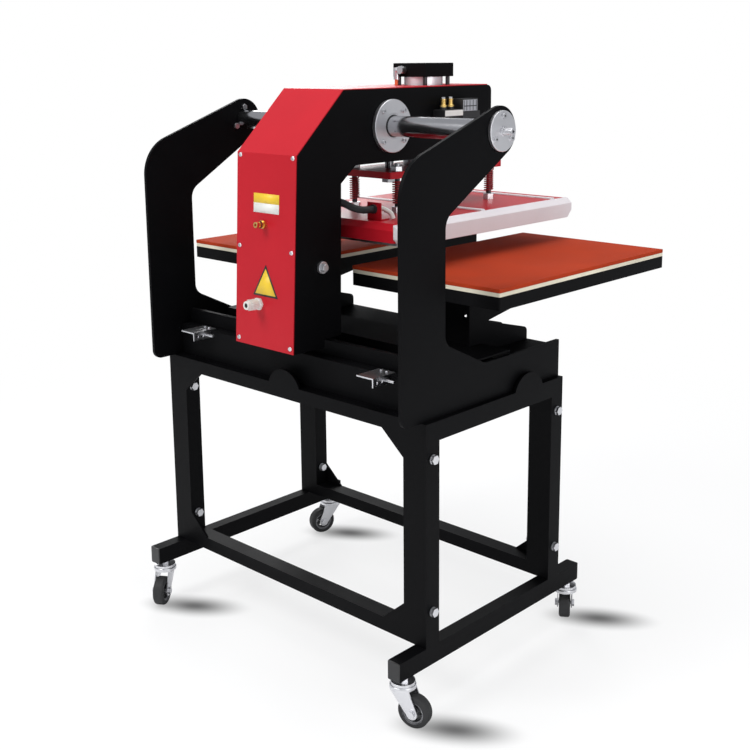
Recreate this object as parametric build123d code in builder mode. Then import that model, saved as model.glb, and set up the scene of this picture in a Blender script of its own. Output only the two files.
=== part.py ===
from build123d import *
import math
import os

os.makedirs("parts", exist_ok=True)

# Dual station heat press on a wheeled stand. Millimetres, +Z up, the operator stands at -Y.
# Distances along Y are counted from the middle of the stand's four legs.

# Clearances
free_gap = 0.3        # between pieces that pass each other or rest on each other
run_gap = 0.05        # radial, round a shaft or pin that turns or slides
hole_gap = 0.2        # radial, round a bolt or a fixed shaft

# Stand of rectangular steel tube
stand_top = 612.0     # floor to the top of the stand
frame_span = 818.0    # over the outer faces of the two side frames
tube_thin = 30.0
tube_deep = 40.0
tube_wall = 2.0
leg_pitch = 420.0     # leg centre lines, front to rear
foot_length = 616.0   # bottom rail of a side frame, without its end plugs
gusset_x = 58.0
gusset_z = 50.0
gusset_sheet = 5.0
tab_width = 98.0      # half-moon tabs that keep the base on the stand
tab_rise = 35.0
tab_sheet = 6.0
side_tab_y = -105.0
plug_head = 3.0
plug_depth = 12.0
bolt_r = 5.0          # frame bolts
bolt_across = 17.0
bolt_head = 6.5
bolt_rise = 75.0      # lower bolt above the foot rail
bolt_drop = 74.0      # upper bolt below the stand's top

# Casters
caster_height = 102.0
caster_pitch = 566.0  # swivel axes, front to rear
wheel_r = 34.0
tyre_wide = 26.0
tyre_round = 6.0
hub_r = 23.5
hub_wide = 28.0
trail = 27.0
fork_sheet = 2.5
fork_inside = 30.0
crown_r = 27.0
crown_high = 7.7
race_r = 25.0
race_high = 6.0
stem_r = 6.0
stem_nut_high = 8.0
stem_nut_across = 22.0
stem_up = 12.0        # stem end above the rail's underside
axle_r = 4.0
trail_turn = {"rear_left": 195.0, "rear_right": 123.0, "front_left": 304.0, "front_right": 70.0}

# Base between the side plates
plate_inset = 12.0    # outer face of a side plate behind the stand's outer face
plate_sheet = 8.0
base_sheet = 4.0
base_rear = 205.0
beam_front = -62.0
beam_rear = 67.0
ledge_rise = 70.0     # front ledge above the stand
beam_rise = 90.0
rear_rise = 72.0
bar_front = 166.0     # guide bar for the foot of the head
bar_thick = 12.0
bar_rise = 34.0

# Side plates that hold the slide shaft
post_rear = 287.0
post_front = 159.0
shoulder_drop = 53.0  # rear corner below the shaft
throat_fall = 159.0   # front corner below the shaft
hollow_rise = 144.0
low_rise = 82.0
low_corner_y = 34.0
nose_r = 50.0
shaft_y = -8.5
shaft_drop = 80.0     # shaft below the head's crown
shaft_r = 22.5
end_flange_r = 41.0
end_flange_thick = 8.0
end_screw_pcd = 60.0
end_screw_r = 4.0
end_nut_high = 6.0
stud_r = 7.0
stud_out = 24.0

# Stop brackets on the rear ledge
stop_from_left = 97.0    # left bracket from the left side plate
stop_from_right = 111.0  # right bracket's near edge from the right side plate
stop_long = 46.0
stop_front = 189.0
stop_rear = 254.0
stop_sheet = 3.0
stop_drop = 16.0

# Lower platens and their pedestals
station_x = 274.0
tray_x = 400.0
tray_y = 620.0
tray_thick = 27.0
board_thick = 8.0
pad_thick = 8.0
pedestal_wide = 75.0
pedestal_sheet = 8.0
pedestal_rear = -22.0
toe_back = 2.0        # toe behind the base's front face
toe_thick = 27.0
notch_y = -88.0
notch_rise = 137.0
arm_tip_drop = 3.0
arm_tip_back = 17.0   # arm tip behind the tray's front edge

# Moving head
head_x = -8.0
head_wide = 184.0
head_sheet = 6.0
cover_sheet = 2.0
column_low_rear = 287.0
column_top_rear = 266.0
column_low_front = 151.0
column_top_front = 144.0
head_rise = 96.0      # foot of the column above the stand
bend_drop = 127.0     # bend of the cover below the crown
crown_y = 132.0
crown_up = 629.0      # crown of the head above the stand
arm_front = -361.0
arm_high = 157.0
arm_root_y = 100.0
arm_round = 14.0
throat_drop = 35.0    # corner of the throat below the arm
foot_notch_rear = 200.0
foot_notch_up = 114.0
mount_plate = 12.0
head_flange_r = 57.5
head_flange_thick = 10.0
head_screw_pcd = 92.0
bush_r = 27.0
bush_long = 60.0

# Air cylinder
cyl_y = -222.0
cap_side = 100.0
cap_thick = 31.0
cyl_out = 52.0        # top of the upper cap above the crown
bore_r = 40.0
tube_r = 45.0
tie_pitch = 80.0
tie_r = 5.0
piston_thick = 25.0
rod_r = 12.5
coupling_r = 48.0
coupling_thick = 14.0

# Press plate with its guide rods, and the platen that hangs below it on sprung posts
press_x = 160.0
press_y = 400.0
press_thick = 15.0
press_drop = 41.0     # underside below the arm
guide_pitch = 238.0
guide_r = 10.0
guide_drop = 29.0     # top of the guide rods below the crown
post_pitch_x = 134.0
post_pitch_y = 330.0
post_r = 6.0
spring_r = 10.2       # to the middle of the wire
wire_r = 1.6
spring_turns = 9.5
spring_bend = 4.5
post_nut_high = 14.0
post_nut_across = 24.0
platen_x = 416.0
platen_y = 632.0
cover_side = 26.0
cover_bevel = 13.0
guard_thick = 16.0
guard_cut = 17.0
cover_wall = 3.0
post_reach = 117.0    # underside of the cover below the press plate
heater_y = 600.0
heater_thick = 8.0
rib_y = (-480.0, -207.0)

# Motion: way of the press down to the pads
stroke = 52.7

# Worked-out places
frame_x = (frame_span - tube_thin) / 2
plate_x = frame_span / 2 - plate_inset - plate_sheet / 2
inner_x = frame_span / 2 - plate_inset - plate_sheet
base_front = -(leg_pitch + tube_deep) / 2
pedestal_toe = base_front + toe_back
stop_x = (-inner_x + stop_from_left, inner_x - stop_from_right)
arm_low = crown_up - arm_high
throat_up = arm_low - throat_drop
shoulder_up = crown_up - bend_drop
shaft_rise = crown_up - shaft_drop
shoulder_rise = shaft_rise - shoulder_drop
throat_rise = shaft_rise - throat_fall
press_rise = arm_low - press_drop
platen_rise = press_rise - post_reach
tray_rise = platen_rise - heater_thick - stroke - free_gap - tray_thick - board_thick - pad_thick
foot_low = caster_height
foot_top = foot_low + tube_deep
rear_turn = math.radians(trail_turn["rear_right"])
front_reach = platen_y / 2 - cyl_y
rear_reach = (caster_pitch / 2 + (trail + wheel_r - tyre_round) * math.sin(rear_turn)
              + (tyre_wide / 2 - tyre_round) * abs(math.cos(rear_turn)) + tyre_round)
stand_y = (front_reach - rear_reach) / 2
shaft_z = stand_top + shaft_rise
cap_low = stand_top + crown_up + cyl_out - cap_thick
mount_z = stand_top + arm_low + cover_sheet
lower_cap_z = mount_z + mount_plate
press_z = stand_top + press_rise
platen_z = stand_top + platen_rise
cover_top = platen_z + cover_side + cover_bevel
guard_z = platen_z - heater_thick
tray_z = stand_top + tray_rise
head_left = head_x - head_wide / 2
rear_ledge = stand_top + rear_rise


def flat_plane(z):
    return Plane(origin=(0, stand_y, z), x_dir=(1, 0, 0), z_dir=(0, 0, 1))


def side_plane(x):
    # local x runs to the rear, local y up, and the normal along +X
    return Plane(origin=(x, stand_y, 0), x_dir=(0, 1, 0), z_dir=(1, 0, 0))


def rear_plane(y):
    # local x along +X, local y up, and the normal towards the operator
    return Plane(origin=(0, stand_y + y, 0), x_dir=(1, 0, 0), z_dir=(0, -1, 0))


# Side frames: a foot rail, two legs and a top rail, welded from tube
def make_side_frame(side):
    leg_low = foot_low + tube_wall
    leg_mid = (foot_low + stand_top) / 2
    with BuildPart() as frame:
        with BuildSketch(side_plane(side * frame_x)):
            with Locations((0, foot_low + tube_deep / 2)):
                Rectangle(foot_length, tube_deep)
            with Locations((0, stand_top - tube_deep / 2)):
                Rectangle(leg_pitch + tube_deep, tube_deep)
            with Locations((-leg_pitch / 2, leg_mid), (leg_pitch / 2, leg_mid)):
                Rectangle(tube_deep, stand_top - foot_low)
        extrude(amount=tube_thin / 2, both=True)
        with BuildSketch(side_plane(side * frame_x)):
            with Locations((0, foot_low + tube_deep / 2)):
                Rectangle(foot_length, tube_deep - 2 * tube_wall)
            with Locations((0, stand_top - tube_deep / 2)):
                Rectangle(leg_pitch + tube_deep - 2 * tube_wall, tube_deep - 2 * tube_wall)
            with Locations((-leg_pitch / 2, leg_mid), (leg_pitch / 2, leg_mid)):
                Rectangle(tube_deep - 2 * tube_wall, stand_top - leg_low - leg_low + foot_low)
        extrude(amount=tube_thin / 2 - tube_wall, both=True, mode=Mode.SUBTRACT)
        # half-moon tab, flush with the outer face
        with BuildSketch(side_plane(side * frame_span / 2)):
            with BuildLine():
                tab_start = (side_tab_y - tab_width / 2, stand_top - tube_wall / 2)
                tab_end = (side_tab_y + tab_width / 2, stand_top - tube_wall / 2)
                ThreePointArc(tab_start, (side_tab_y, stand_top + tab_rise), tab_end)
                Line(tab_end, tab_start)
            make_face()
        extrude(amount=-side * tab_sheet)
        # bolt holes through both legs
        with BuildSketch(side_plane(side * frame_x)):
            with Locations(*bolt_places):
                Circle(bolt_r + hole_gap)
        extrude(amount=tube_thin, both=True, mode=Mode.SUBTRACT)
        # holes for the caster stems
        with BuildSketch(flat_plane(foot_low)):
            with Locations((side * frame_x, -caster_pitch / 2), (side * frame_x, caster_pitch / 2)):
                Circle(stem_r + hole_gap)
        extrude(amount=tube_wall, both=True, mode=Mode.SUBTRACT)
    return frame


bolt_places = [(y, z) for y in (-leg_pitch / 2, leg_pitch / 2)
               for z in (foot_top + bolt_rise, stand_top - bolt_drop)]

side_frame_left = make_side_frame(-1)
side_frame_left.part.label = "side_frame_left"
export_step(side_frame_left.part, "parts/side_frame_left.step")
side_frame_right = make_side_frame(1)
side_frame_right.part.label = "side_frame_right"
export_step(side_frame_right.part, "parts/side_frame_right.step")


# Cross frames: closed rings of tube with a gusset in each corner, bolted between the side frames
def make_cross_frame(end):
    half = frame_span / 2 - tube_thin
    high = stand_top - foot_top
    middle = (0, foot_top + high / 2)
    with BuildPart() as frame:
        with BuildSketch(rear_plane(end * leg_pitch / 2)):
            with Locations(middle):
                Rectangle(2 * half, high)
                Rectangle(2 * (half - tube_thin), high - 2 * tube_thin, mode=Mode.SUBTRACT)
        extrude(amount=tube_deep / 2, both=True)
        with BuildSketch(rear_plane(end * leg_pitch / 2)):
            with Locations(middle):
                Rectangle(2 * (half - tube_wall), high - 2 * tube_wall)
                Rectangle(2 * (half - tube_thin + tube_wall), high - 2 * (tube_thin - tube_wall),
                          mode=Mode.SUBTRACT)
        extrude(amount=tube_deep / 2 - tube_wall, both=True, mode=Mode.SUBTRACT)
        with BuildSketch(rear_plane(end * (leg_pitch + tube_deep) / 2)):
            for side in (-1, 1):
                for level, up in ((foot_top + tube_thin, 1), (stand_top - tube_thin, -1)):
                    corner_x = side * (half - tube_thin)
                    Polygon((corner_x + side, level - up), (corner_x - side * gusset_x, level - up),
                            (corner_x - side * gusset_x, level), (corner_x, level + up * gusset_z),
                            (corner_x + side, level + up * gusset_z), align=None)
        extrude(amount=end * gusset_sheet)
        if end > 0:
            with BuildSketch(rear_plane(end * (leg_pitch + tube_deep) / 2)):
                with BuildLine():
                    tab_start = (-tab_width / 2, stand_top - tube_wall / 2)
                    tab_end = (tab_width / 2, stand_top - tube_wall / 2)
                    ThreePointArc(tab_start, (0, stand_top + tab_rise), tab_end)
                    Line(tab_end, tab_start)
                make_face()
            extrude(amount=tab_sheet)
        for side in (-1, 1):
            with BuildSketch(side_plane(side * (half - tube_thin / 2))):
                with Locations(*[place for place in bolt_places if place[0] * end > 0]):
                    Circle(bolt_r + hole_gap)
            extrude(amount=tube_thin, both=True, mode=Mode.SUBTRACT)
    return frame


cross_frame_rear = make_cross_frame(1)
cross_frame_rear.part.label = "cross_frame_rear"
export_step(cross_frame_rear.part, "parts/cross_frame_rear.step")
cross_frame_front = make_cross_frame(-1)
cross_frame_front.part.label = "cross_frame_front"
export_step(cross_frame_front.part, "parts/cross_frame_front.step")

# Hex bolts and nuts that hold the four frames together
washer_r = 10.0
washer_thick = 2.0
bolt_nut = 8.0
with BuildPart() as frame_bolts:
    for side in (-1, 1):
        outer = side * frame_span / 2
        inner = side * (frame_span / 2 - 2 * tube_thin)
        for start, length, shape_r, hexagon in (
                (outer, washer_thick, washer_r, False),
                (outer + side * washer_thick, bolt_head, bolt_across / 2, True),
                (inner, -washer_thick, washer_r, False),
                (inner - side * washer_thick, -bolt_nut, bolt_across / 2, True),
                (inner - side * (washer_thick + bolt_nut), 2 * tube_thin + washer_thick + bolt_nut, bolt_r, False)):
            with BuildSketch(side_plane(start)):
                with Locations(*bolt_places):
                    if hexagon:
                        RegularPolygon(shape_r, 6, major_radius=False)
                    else:
                        Circle(shape_r)
            extrude(amount=side * length)
frame_bolts.part.label = "frame_bolts"
export_step(frame_bolts.part, "parts/frame_bolts.step")

# Plastic plugs in the four ends of the foot rails
with BuildPart() as tube_end_plugs:
    for side in (-1, 1):
        for end in (-1, 1):
            with BuildSketch(rear_plane(end * foot_length / 2)):
                with Locations((side * frame_x, foot_low + tube_deep / 2)):
                    RectangleRounded(tube_thin, tube_deep, tube_wall)
            extrude(amount=-end * plug_head)
            with BuildSketch(rear_plane(end * foot_length / 2)):
                with Locations((side * frame_x, foot_low + tube_deep / 2)):
                    Rectangle(tube_thin - 2 * (tube_wall + hole_gap), tube_deep - 2 * (tube_wall + hole_gap))
            extrude(amount=end * plug_depth)
tube_end_plugs.part.label = "tube_end_plugs"
export_step(tube_end_plugs.part, "parts/tube_end_plugs.step")

# Casters: a fixed stem with nut and race, a swivelling fork with its axle bolt, and a wheel
caster_places = {"rear_left": (-frame_x, caster_pitch / 2), "rear_right": (frame_x, caster_pitch / 2),
                 "front_left": (-frame_x, -caster_pitch / 2), "front_right": (frame_x, -caster_pitch / 2)}
race_low = foot_low - stem_nut_high - race_high
crown_low = race_low - free_gap - crown_high
rivet_r = 10.0
rivet_high = 5.0

with BuildPart() as caster_mounts:
    with BuildSketch(flat_plane(foot_low)):
        with Locations(*caster_places.values()):
            RegularPolygon(stem_nut_across / 2, 6, major_radius=False)
    extrude(amount=-stem_nut_high)
    with BuildSketch(flat_plane(race_low)):
        with Locations(*caster_places.values()):
            Circle(race_r)
    extrude(amount=race_high)
    with BuildSketch(flat_plane(crown_low - free_gap - rivet_high)):
        with Locations(*caster_places.values()):
            Circle(stem_r)
    extrude(amount=foot_low + stem_up - crown_low + free_gap + rivet_high)
    with BuildSketch(flat_plane(crown_low - free_gap - rivet_high)):
        with Locations(*caster_places.values()):
            Circle(rivet_r)
    extrude(amount=rivet_high)
caster_mounts.part.label = "caster_mounts"
export_step(caster_mounts.part, "parts/caster_mounts.step")


# Plane through the swivel axis, local x along the trail, local y up, normal along the axle
def trail_plane(place, turn, aside):
    along = (math.cos(math.radians(turn)), math.sin(math.radians(turn)))
    axle = (along[1], -along[0])
    origin = (place[0] + aside * axle[0], stand_y + place[1] + aside * axle[1], 0)
    return Plane(origin=origin, x_dir=(along[0], along[1], 0), z_dir=(axle[0], axle[1], 0))


def make_fork(place, turn):
    ear_r = 12.0
    top_half = 21.0
    nut_high = 5.0
    half = fork_inside / 2
    with BuildPart() as fork:
        with BuildSketch(flat_plane(crown_low)):
            with Locations(place):
                Circle(crown_r)
                Circle(stem_r + run_gap, mode=Mode.SUBTRACT)
        extrude(amount=crown_high)
        fillet(fork.edges().group_by(Axis.Z)[-1].sort_by(SortBy.RADIUS)[-1], fork_sheet)
        for side in (-1, 1):
            with BuildSketch(trail_plane(place, turn, side * half)):
                Polygon((-top_half, crown_low + fork_sheet), (top_half, crown_low + fork_sheet),
                        (top_half, crown_low), (trail + ear_r, wheel_r + ear_r / 4),
                        (trail + ear_r / 2, wheel_r - ear_r / 2), (trail - ear_r, wheel_r - ear_r / 4),
                        (-top_half, crown_low - fork_sheet), align=None)
                with Locations((trail, wheel_r)):
                    Circle(ear_r)
            extrude(amount=side * fork_sheet)
        with BuildSketch(trail_plane(place, turn, -half - fork_sheet - nut_high)):
            with Locations((trail, wheel_r)):
                Circle(axle_r)
        extrude(amount=fork_inside + 2 * (fork_sheet + nut_high))
        for side in (-1, 1):
            with BuildSketch(trail_plane(place, turn, side * (half + fork_sheet))):
                with Locations((trail, wheel_r)):
                    RegularPolygon(2 * axle_r, 6)
            extrude(amount=side * nut_high)
    return fork


# Wheel: a rubber tyre round a spoked plastic hub, two solids that turn together
def make_wheel(place, turn):
    boss_r = 9.0
    disc_half = 4.0
    rim_half = 10.0
    rim_thick = 4.0
    spoke_holes = 5
    axle_plane = trail_plane(place, turn, 0)
    with BuildPart() as wheel:
        with BuildSketch(axle_plane):
            with Locations((trail, wheel_r)):
                Circle(wheel_r)
                Circle(hub_r, mode=Mode.SUBTRACT)
        extrude(amount=tyre_wide / 2, both=True)
        fillet(wheel.edges().filter_by(GeomType.CIRCLE).group_by(SortBy.RADIUS)[-1], tyre_round)
    with BuildPart() as hub:
        with BuildSketch(axle_plane):
            with Locations((trail, wheel_r)):
                Circle(hub_r)
                Circle(hub_r - rim_thick, mode=Mode.SUBTRACT)
        extrude(amount=rim_half, both=True)
        with BuildSketch(axle_plane):
            with Locations((trail, wheel_r)):
                Circle(hub_r - rim_thick / 2)
                with PolarLocations((hub_r - rim_thick + boss_r) / 2, spoke_holes):
                    Circle((hub_r - rim_thick - boss_r) / 2 - 1, mode=Mode.SUBTRACT)
        extrude(amount=disc_half, both=True)
        with BuildSketch(axle_plane):
            with Locations((trail, wheel_r)):
                Circle(boss_r)
        extrude(amount=hub_wide / 2, both=True)
        with BuildSketch(axle_plane):
            with Locations((trail, wheel_r)):
                Circle(axle_r + run_gap)
        extrude(amount=hub_wide, both=True, mode=Mode.SUBTRACT)
    return Compound(children=[wheel.part.solid(), hub.part.solid()])


for corner, place in caster_places.items():
    caster_fork = make_fork(place, trail_turn[corner])
    caster_fork.part.label = f"caster_fork_{corner}"
    export_step(caster_fork.part, f"parts/caster_fork_{corner}.step")
    caster_wheel = make_wheel(place, trail_turn[corner])
    caster_wheel.label = f"caster_wheel_{corner}"
    export_step(caster_wheel, f"parts/caster_wheel_{corner}.step")

# Base: one folded sheet with a front ledge, a raised beam and a rear ledge, open below
base_outline = [(base_front, 0), (base_front, ledge_rise), (beam_front, ledge_rise),
                (beam_front, beam_rise), (beam_rear, beam_rise), (beam_rear, rear_rise),
                (base_rear, rear_rise), (base_rear, 0)]
with BuildPart() as base_box:
    with BuildSketch(side_plane(-inner_x)):
        with BuildLine():
            Polyline(*[(y, stand_top + up) for y, up in base_outline], close=True)
        make_face()
        with BuildLine():
            Polyline((base_front + base_sheet, stand_top - 1), (base_front + base_sheet, stand_top + ledge_rise - base_sheet),
                     (beam_front + base_sheet, stand_top + ledge_rise - base_sheet),
                     (beam_front + base_sheet, stand_top + beam_rise - base_sheet),
                     (beam_rear - base_sheet, stand_top + beam_rise - base_sheet),
                     (beam_rear - base_sheet, rear_ledge - base_sheet), (base_rear - base_sheet, rear_ledge - base_sheet),
                     (base_rear - base_sheet, stand_top - 1), close=True)
        make_face(mode=Mode.SUBTRACT)
    extrude(amount=2 * inner_x)
base_box.part.label = "base_box"
export_step(base_box.part, "parts/base_box.step")


# Point where a line from a point touches the nose circle; hand says on which side
def nose_touch(point, hand):
    away = Vector(point[0] - shaft_y, point[1] - shaft_z)
    turn = math.degrees(math.acos(nose_r / away.length))
    touch = away.normalized().rotate(Axis.Z, hand * turn) * nose_r
    return (shaft_y + touch.X, shaft_z + touch.Y)


# Side plates: an upright at the rear, a nose over the slide shaft and a low front part
def make_side_plate(side):
    shoulder = (post_rear, stand_top + shoulder_rise)
    throat = (post_front, stand_top + throat_rise)
    nose_top = nose_touch(shoulder, 1)
    nose_low = nose_touch(throat, -1)
    foot_round = 20.0
    shoulder_round = 90.0
    throat_round = 35.0
    hollow_round = 30.0
    with BuildPart() as plate:
        with BuildSketch(side_plane(side * plate_x)):
            with BuildLine():
                Line((base_front, stand_top), (post_rear, stand_top))
                Line((post_rear, stand_top), shoulder)
                Line(shoulder, nose_top)
                ThreePointArc(nose_top, (shaft_y - nose_r, shaft_z), nose_low)
                Polyline(nose_low, throat, (post_front, stand_top + hollow_rise),
                         (low_corner_y, stand_top + low_rise), (base_front, stand_top + low_rise),
                         (base_front, stand_top))
            make_face()
            fillet(vertices().sort_by_distance((post_rear, stand_top))[0], foot_round)
            fillet(vertices().sort_by_distance(shoulder)[0], shoulder_round)
            fillet(vertices().sort_by_distance(throat)[0], throat_round)
            fillet(vertices().sort_by_distance((post_front, stand_top + hollow_rise))[0], hollow_round)
            fillet(vertices().sort_by_distance((low_corner_y, stand_top + low_rise))[0], hollow_round)
            with Locations((shaft_y, shaft_z)):
                Circle(shaft_r + hole_gap, mode=Mode.SUBTRACT)
                with PolarLocations(end_screw_pcd / 2, 3, start_angle=90):
                    Circle(end_screw_r + hole_gap, mode=Mode.SUBTRACT)
        extrude(amount=plate_sheet / 2, both=True)
    return plate


side_plate_left = make_side_plate(-1)
side_plate_left.part.label = "side_plate_left"
export_step(side_plate_left.part, "parts/side_plate_left.step")
side_plate_right = make_side_plate(1)
side_plate_right.part.label = "side_plate_right"
export_step(side_plate_right.part, "parts/side_plate_right.step")

# Slide shaft between the noses, with end flanges, screws and a centre stud at each end
plate_outer = plate_x + plate_sheet / 2
stud_deep = 30.0
with BuildPart() as slide_shaft:
    with BuildSketch(side_plane(-plate_outer)):
        with Locations((shaft_y, shaft_z)):
            Circle(shaft_r)
    extrude(amount=2 * plate_outer)
    for side in (-1, 1):
        with BuildSketch(side_plane(side * plate_outer)):
            with Locations((shaft_y, shaft_z)):
                Circle(stud_r + hole_gap)
        extrude(amount=-side * stud_deep, mode=Mode.SUBTRACT)
slide_shaft.part.label = "slide_shaft"
export_step(slide_shaft.part, "parts/slide_shaft.step")

with BuildPart() as shaft_end_flanges:
    for side in (-1, 1):
        with BuildSketch(side_plane(side * plate_outer)):
            with Locations((shaft_y, shaft_z)):
                Circle(end_flange_r)
                Circle(stud_r + hole_gap, mode=Mode.SUBTRACT)
                with PolarLocations(end_screw_pcd / 2, 3, start_angle=90):
                    Circle(end_screw_r + hole_gap, mode=Mode.SUBTRACT)
        extrude(amount=side * end_flange_thick)
    chamfer(shaft_end_flanges.edges().filter_by(GeomType.CIRCLE).group_by(SortBy.RADIUS)[-1], 1)
shaft_end_flanges.part.label = "shaft_end_flanges"
export_step(shaft_end_flanges.part, "parts/shaft_end_flanges.step")

screw_head_r = 6.5
screw_head_high = 4.0
collar_r = 10.0
collar_high = 4.0
socket_deep = 8.0
with BuildPart() as shaft_end_screws:
    for side in (-1, 1):
        face = side * (plate_outer + end_flange_thick)
        inside = side * (plate_outer - plate_sheet)
        through = end_flange_thick + plate_sheet + end_nut_high
        for start, length, shape_r, hexagon in ((face, screw_head_high, screw_head_r, False),
                                                (face, -through, end_screw_r, False),
                                                (inside, -end_nut_high, screw_head_r, True)):
            with BuildSketch(side_plane(start)):
                with Locations((shaft_y, shaft_z)):
                    with PolarLocations(end_screw_pcd / 2, 3, start_angle=90):
                        if hexagon:
                            RegularPolygon(shape_r, 6, major_radius=False)
                        else:
                            Circle(shape_r)
            extrude(amount=side * length)
        # centre stud with its collar and a hex socket in the end
        with BuildSketch(side_plane(face)):
            with Locations((shaft_y, shaft_z)):
                Circle(collar_r)
        extrude(amount=side * collar_high)
        with BuildSketch(side_plane(side * (plate_outer - stud_deep + 2))):
            with Locations((shaft_y, shaft_z)):
                Circle(stud_r)
        extrude(amount=side * (stud_deep - 2 + end_flange_thick + stud_out))
        with BuildSketch(side_plane(face + side * stud_out)):
            with Locations((shaft_y, shaft_z)):
                RegularPolygon(stud_r / 2, 6)
        extrude(amount=-side * socket_deep, mode=Mode.SUBTRACT)
shaft_end_screws.part.label = "shaft_end_screws"
export_step(shaft_end_screws.part, "parts/shaft_end_screws.step")

# Guide bar on the rear ledge, which the shoe under the head straddles
with BuildPart() as guide_bar:
    with BuildSketch(flat_plane(rear_ledge)):
        with Locations((0, bar_front + bar_thick / 2)):
            Rectangle(2 * inner_x, bar_thick)
    extrude(amount=bar_rise)
    chamfer(guide_bar.edges().group_by(Axis.Z)[-1].filter_by(Axis.X), 1)
guide_bar.part.label = "guide_bar"
export_step(guide_bar.part, "parts/guide_bar.step")

# Stop brackets, each an angle with a drilled flange that hangs behind the base
flange_hole_r = 3.4
flange_pitch = 14.0
flange_front = base_rear + 1
flange_mid = (flange_front + stop_rear) / 2
stop_screw_in = 8.0
bracket_screw_r = 2.0
bracket_screw_hole_r = bracket_screw_r + hole_gap
with BuildPart() as stop_brackets:
    for x in stop_x:
        with BuildSketch(flat_plane(rear_ledge)):
            with Locations((x + stop_long / 2, (stop_front + stop_rear) / 2)):
                Rectangle(stop_long, stop_rear - stop_front)
            with Locations(*[(x + stop_long * share / 3, stop_front + stop_screw_in) for share in (1, 2)]):
                Circle(bracket_screw_hole_r, mode=Mode.SUBTRACT)
        extrude(amount=stop_sheet)
        with BuildSketch(side_plane(x)):
            with Locations((flange_mid, rear_ledge + stop_sheet - (stop_drop + stop_sheet) / 2)):
                Rectangle(stop_rear - flange_front, stop_drop + stop_sheet)
            with Locations((flange_mid, rear_ledge - stop_drop / 2)):
                with GridLocations(flange_pitch, 1, 3, 1):
                    Circle(flange_hole_r, mode=Mode.SUBTRACT)
        extrude(amount=stop_sheet)
stop_brackets.part.label = "stop_brackets"
export_step(stop_brackets.part, "parts/stop_brackets.step")

# Pedestals: two profiled plates each, with a foot on the ledge, a rear web and a head plate
head_plate = 6.0
tray_bolt_r = 4.0
tray_bolt_deep = 15.0
slot_x = 12.0
slot_z = 19.0
slot_from_plate = 9.0
arm_tip = cyl_y - tray_y / 2 + arm_tip_back
arm_mid = (pedestal_rear + arm_tip) / 2
arm_reach = pedestal_rear - arm_tip
clear_between = pedestal_wide - 2 * pedestal_sheet
front_ledge = stand_top + ledge_rise
beam_top = stand_top + beam_rise
toe_round = 12.5

with BuildPart() as platen_pedestals:
    for side in (-1, 1):
        for edge in (-1, 1):
            with BuildSketch(side_plane(side * station_x + edge * pedestal_wide / 2)):
                with BuildLine():
                    Polyline((pedestal_rear, beam_top), (pedestal_rear, tray_z), (arm_tip, tray_z),
                             (arm_tip, tray_z - arm_tip_drop), (notch_y, stand_top + notch_rise),
                             (notch_y, stand_top + notch_rise - 3), (pedestal_toe, front_ledge + toe_thick),
                             (pedestal_toe, front_ledge), (beam_front - hole_gap, front_ledge),
                             (beam_front - hole_gap, beam_top), close=True)
                make_face()
                fillet(vertices().sort_by_distance((pedestal_toe, front_ledge + toe_thick))[0], toe_round)
            extrude(amount=-edge * pedestal_sheet)
        with BuildSketch(rear_plane(pedestal_rear - pedestal_sheet / 2)):
            with Locations((side * station_x, (beam_top + tray_z) / 2)):
                Rectangle(clear_between, tray_z - beam_top)
            with Locations((side * station_x - clear_between / 2 + slot_from_plate, (beam_top + tray_z) / 2 + 5)):
                SlotOverall(slot_z, slot_x, rotation=90, mode=Mode.SUBTRACT)
        extrude(amount=pedestal_sheet)
        with BuildSketch(flat_plane(tray_z)):
            with Locations((side * station_x, arm_mid)):
                Rectangle(clear_between, arm_reach)
                with GridLocations(clear_between / 2, arm_reach / 2, 2, 2):
                    Circle(tray_bolt_r + hole_gap, mode=Mode.SUBTRACT)
        extrude(amount=-head_plate)
platen_pedestals.part.label = "platen_pedestals"
export_step(platen_pedestals.part, "parts/platen_pedestals.step")

# Bolts that come up through the head plates into the trays, and the screws of the stop brackets
tray_bolt_across = 13.0
tray_bolt_head = 5.5
bracket_head_high = 2.5
stop_bolt_long = 22.0
with BuildPart() as base_screws:
    for low, high, hexagon in ((tray_z - head_plate - tray_bolt_head, tray_bolt_head, True),
                               (tray_z - head_plate, head_plate + tray_bolt_deep, False)):
        with BuildSketch(flat_plane(low)):
            with Locations((-station_x, arm_mid), (station_x, arm_mid)):
                with GridLocations(clear_between / 2, arm_reach / 2, 2, 2):
                    if hexagon:
                        RegularPolygon(tray_bolt_across / 2, 6, major_radius=False)
                    else:
                        Circle(tray_bolt_r)
        extrude(amount=high)
    for x in stop_x:
        with BuildSketch(flat_plane(rear_ledge + stop_sheet)):
            with Locations(*[(x + stop_long * share / 3, stop_front + stop_screw_in) for share in (1, 2)]):
                Circle(2 * bracket_screw_r)
        extrude(amount=bracket_head_high)
        with BuildSketch(flat_plane(rear_ledge)):
            with Locations(*[(x + stop_long * share / 3, stop_front + stop_screw_in) for share in (1, 2)]):
                Circle(bracket_screw_r)
        extrude(amount=stop_sheet)
        with BuildSketch(side_plane(x + stop_sheet)):
            with Locations((flange_mid - flange_pitch, rear_ledge - stop_drop / 2)):
                RegularPolygon(2 * flange_hole_r - 1, 6)
        extrude(amount=flange_hole_r)
        with BuildSketch(side_plane(x - stop_bolt_long)):
            with Locations((flange_mid - flange_pitch, rear_ledge - stop_drop / 2)):
                Circle(flange_hole_r - hole_gap)
        extrude(amount=stop_bolt_long + stop_sheet)
base_screws.part.label = "base_screws"
export_step(base_screws.part, "parts/base_screws.step")

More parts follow.
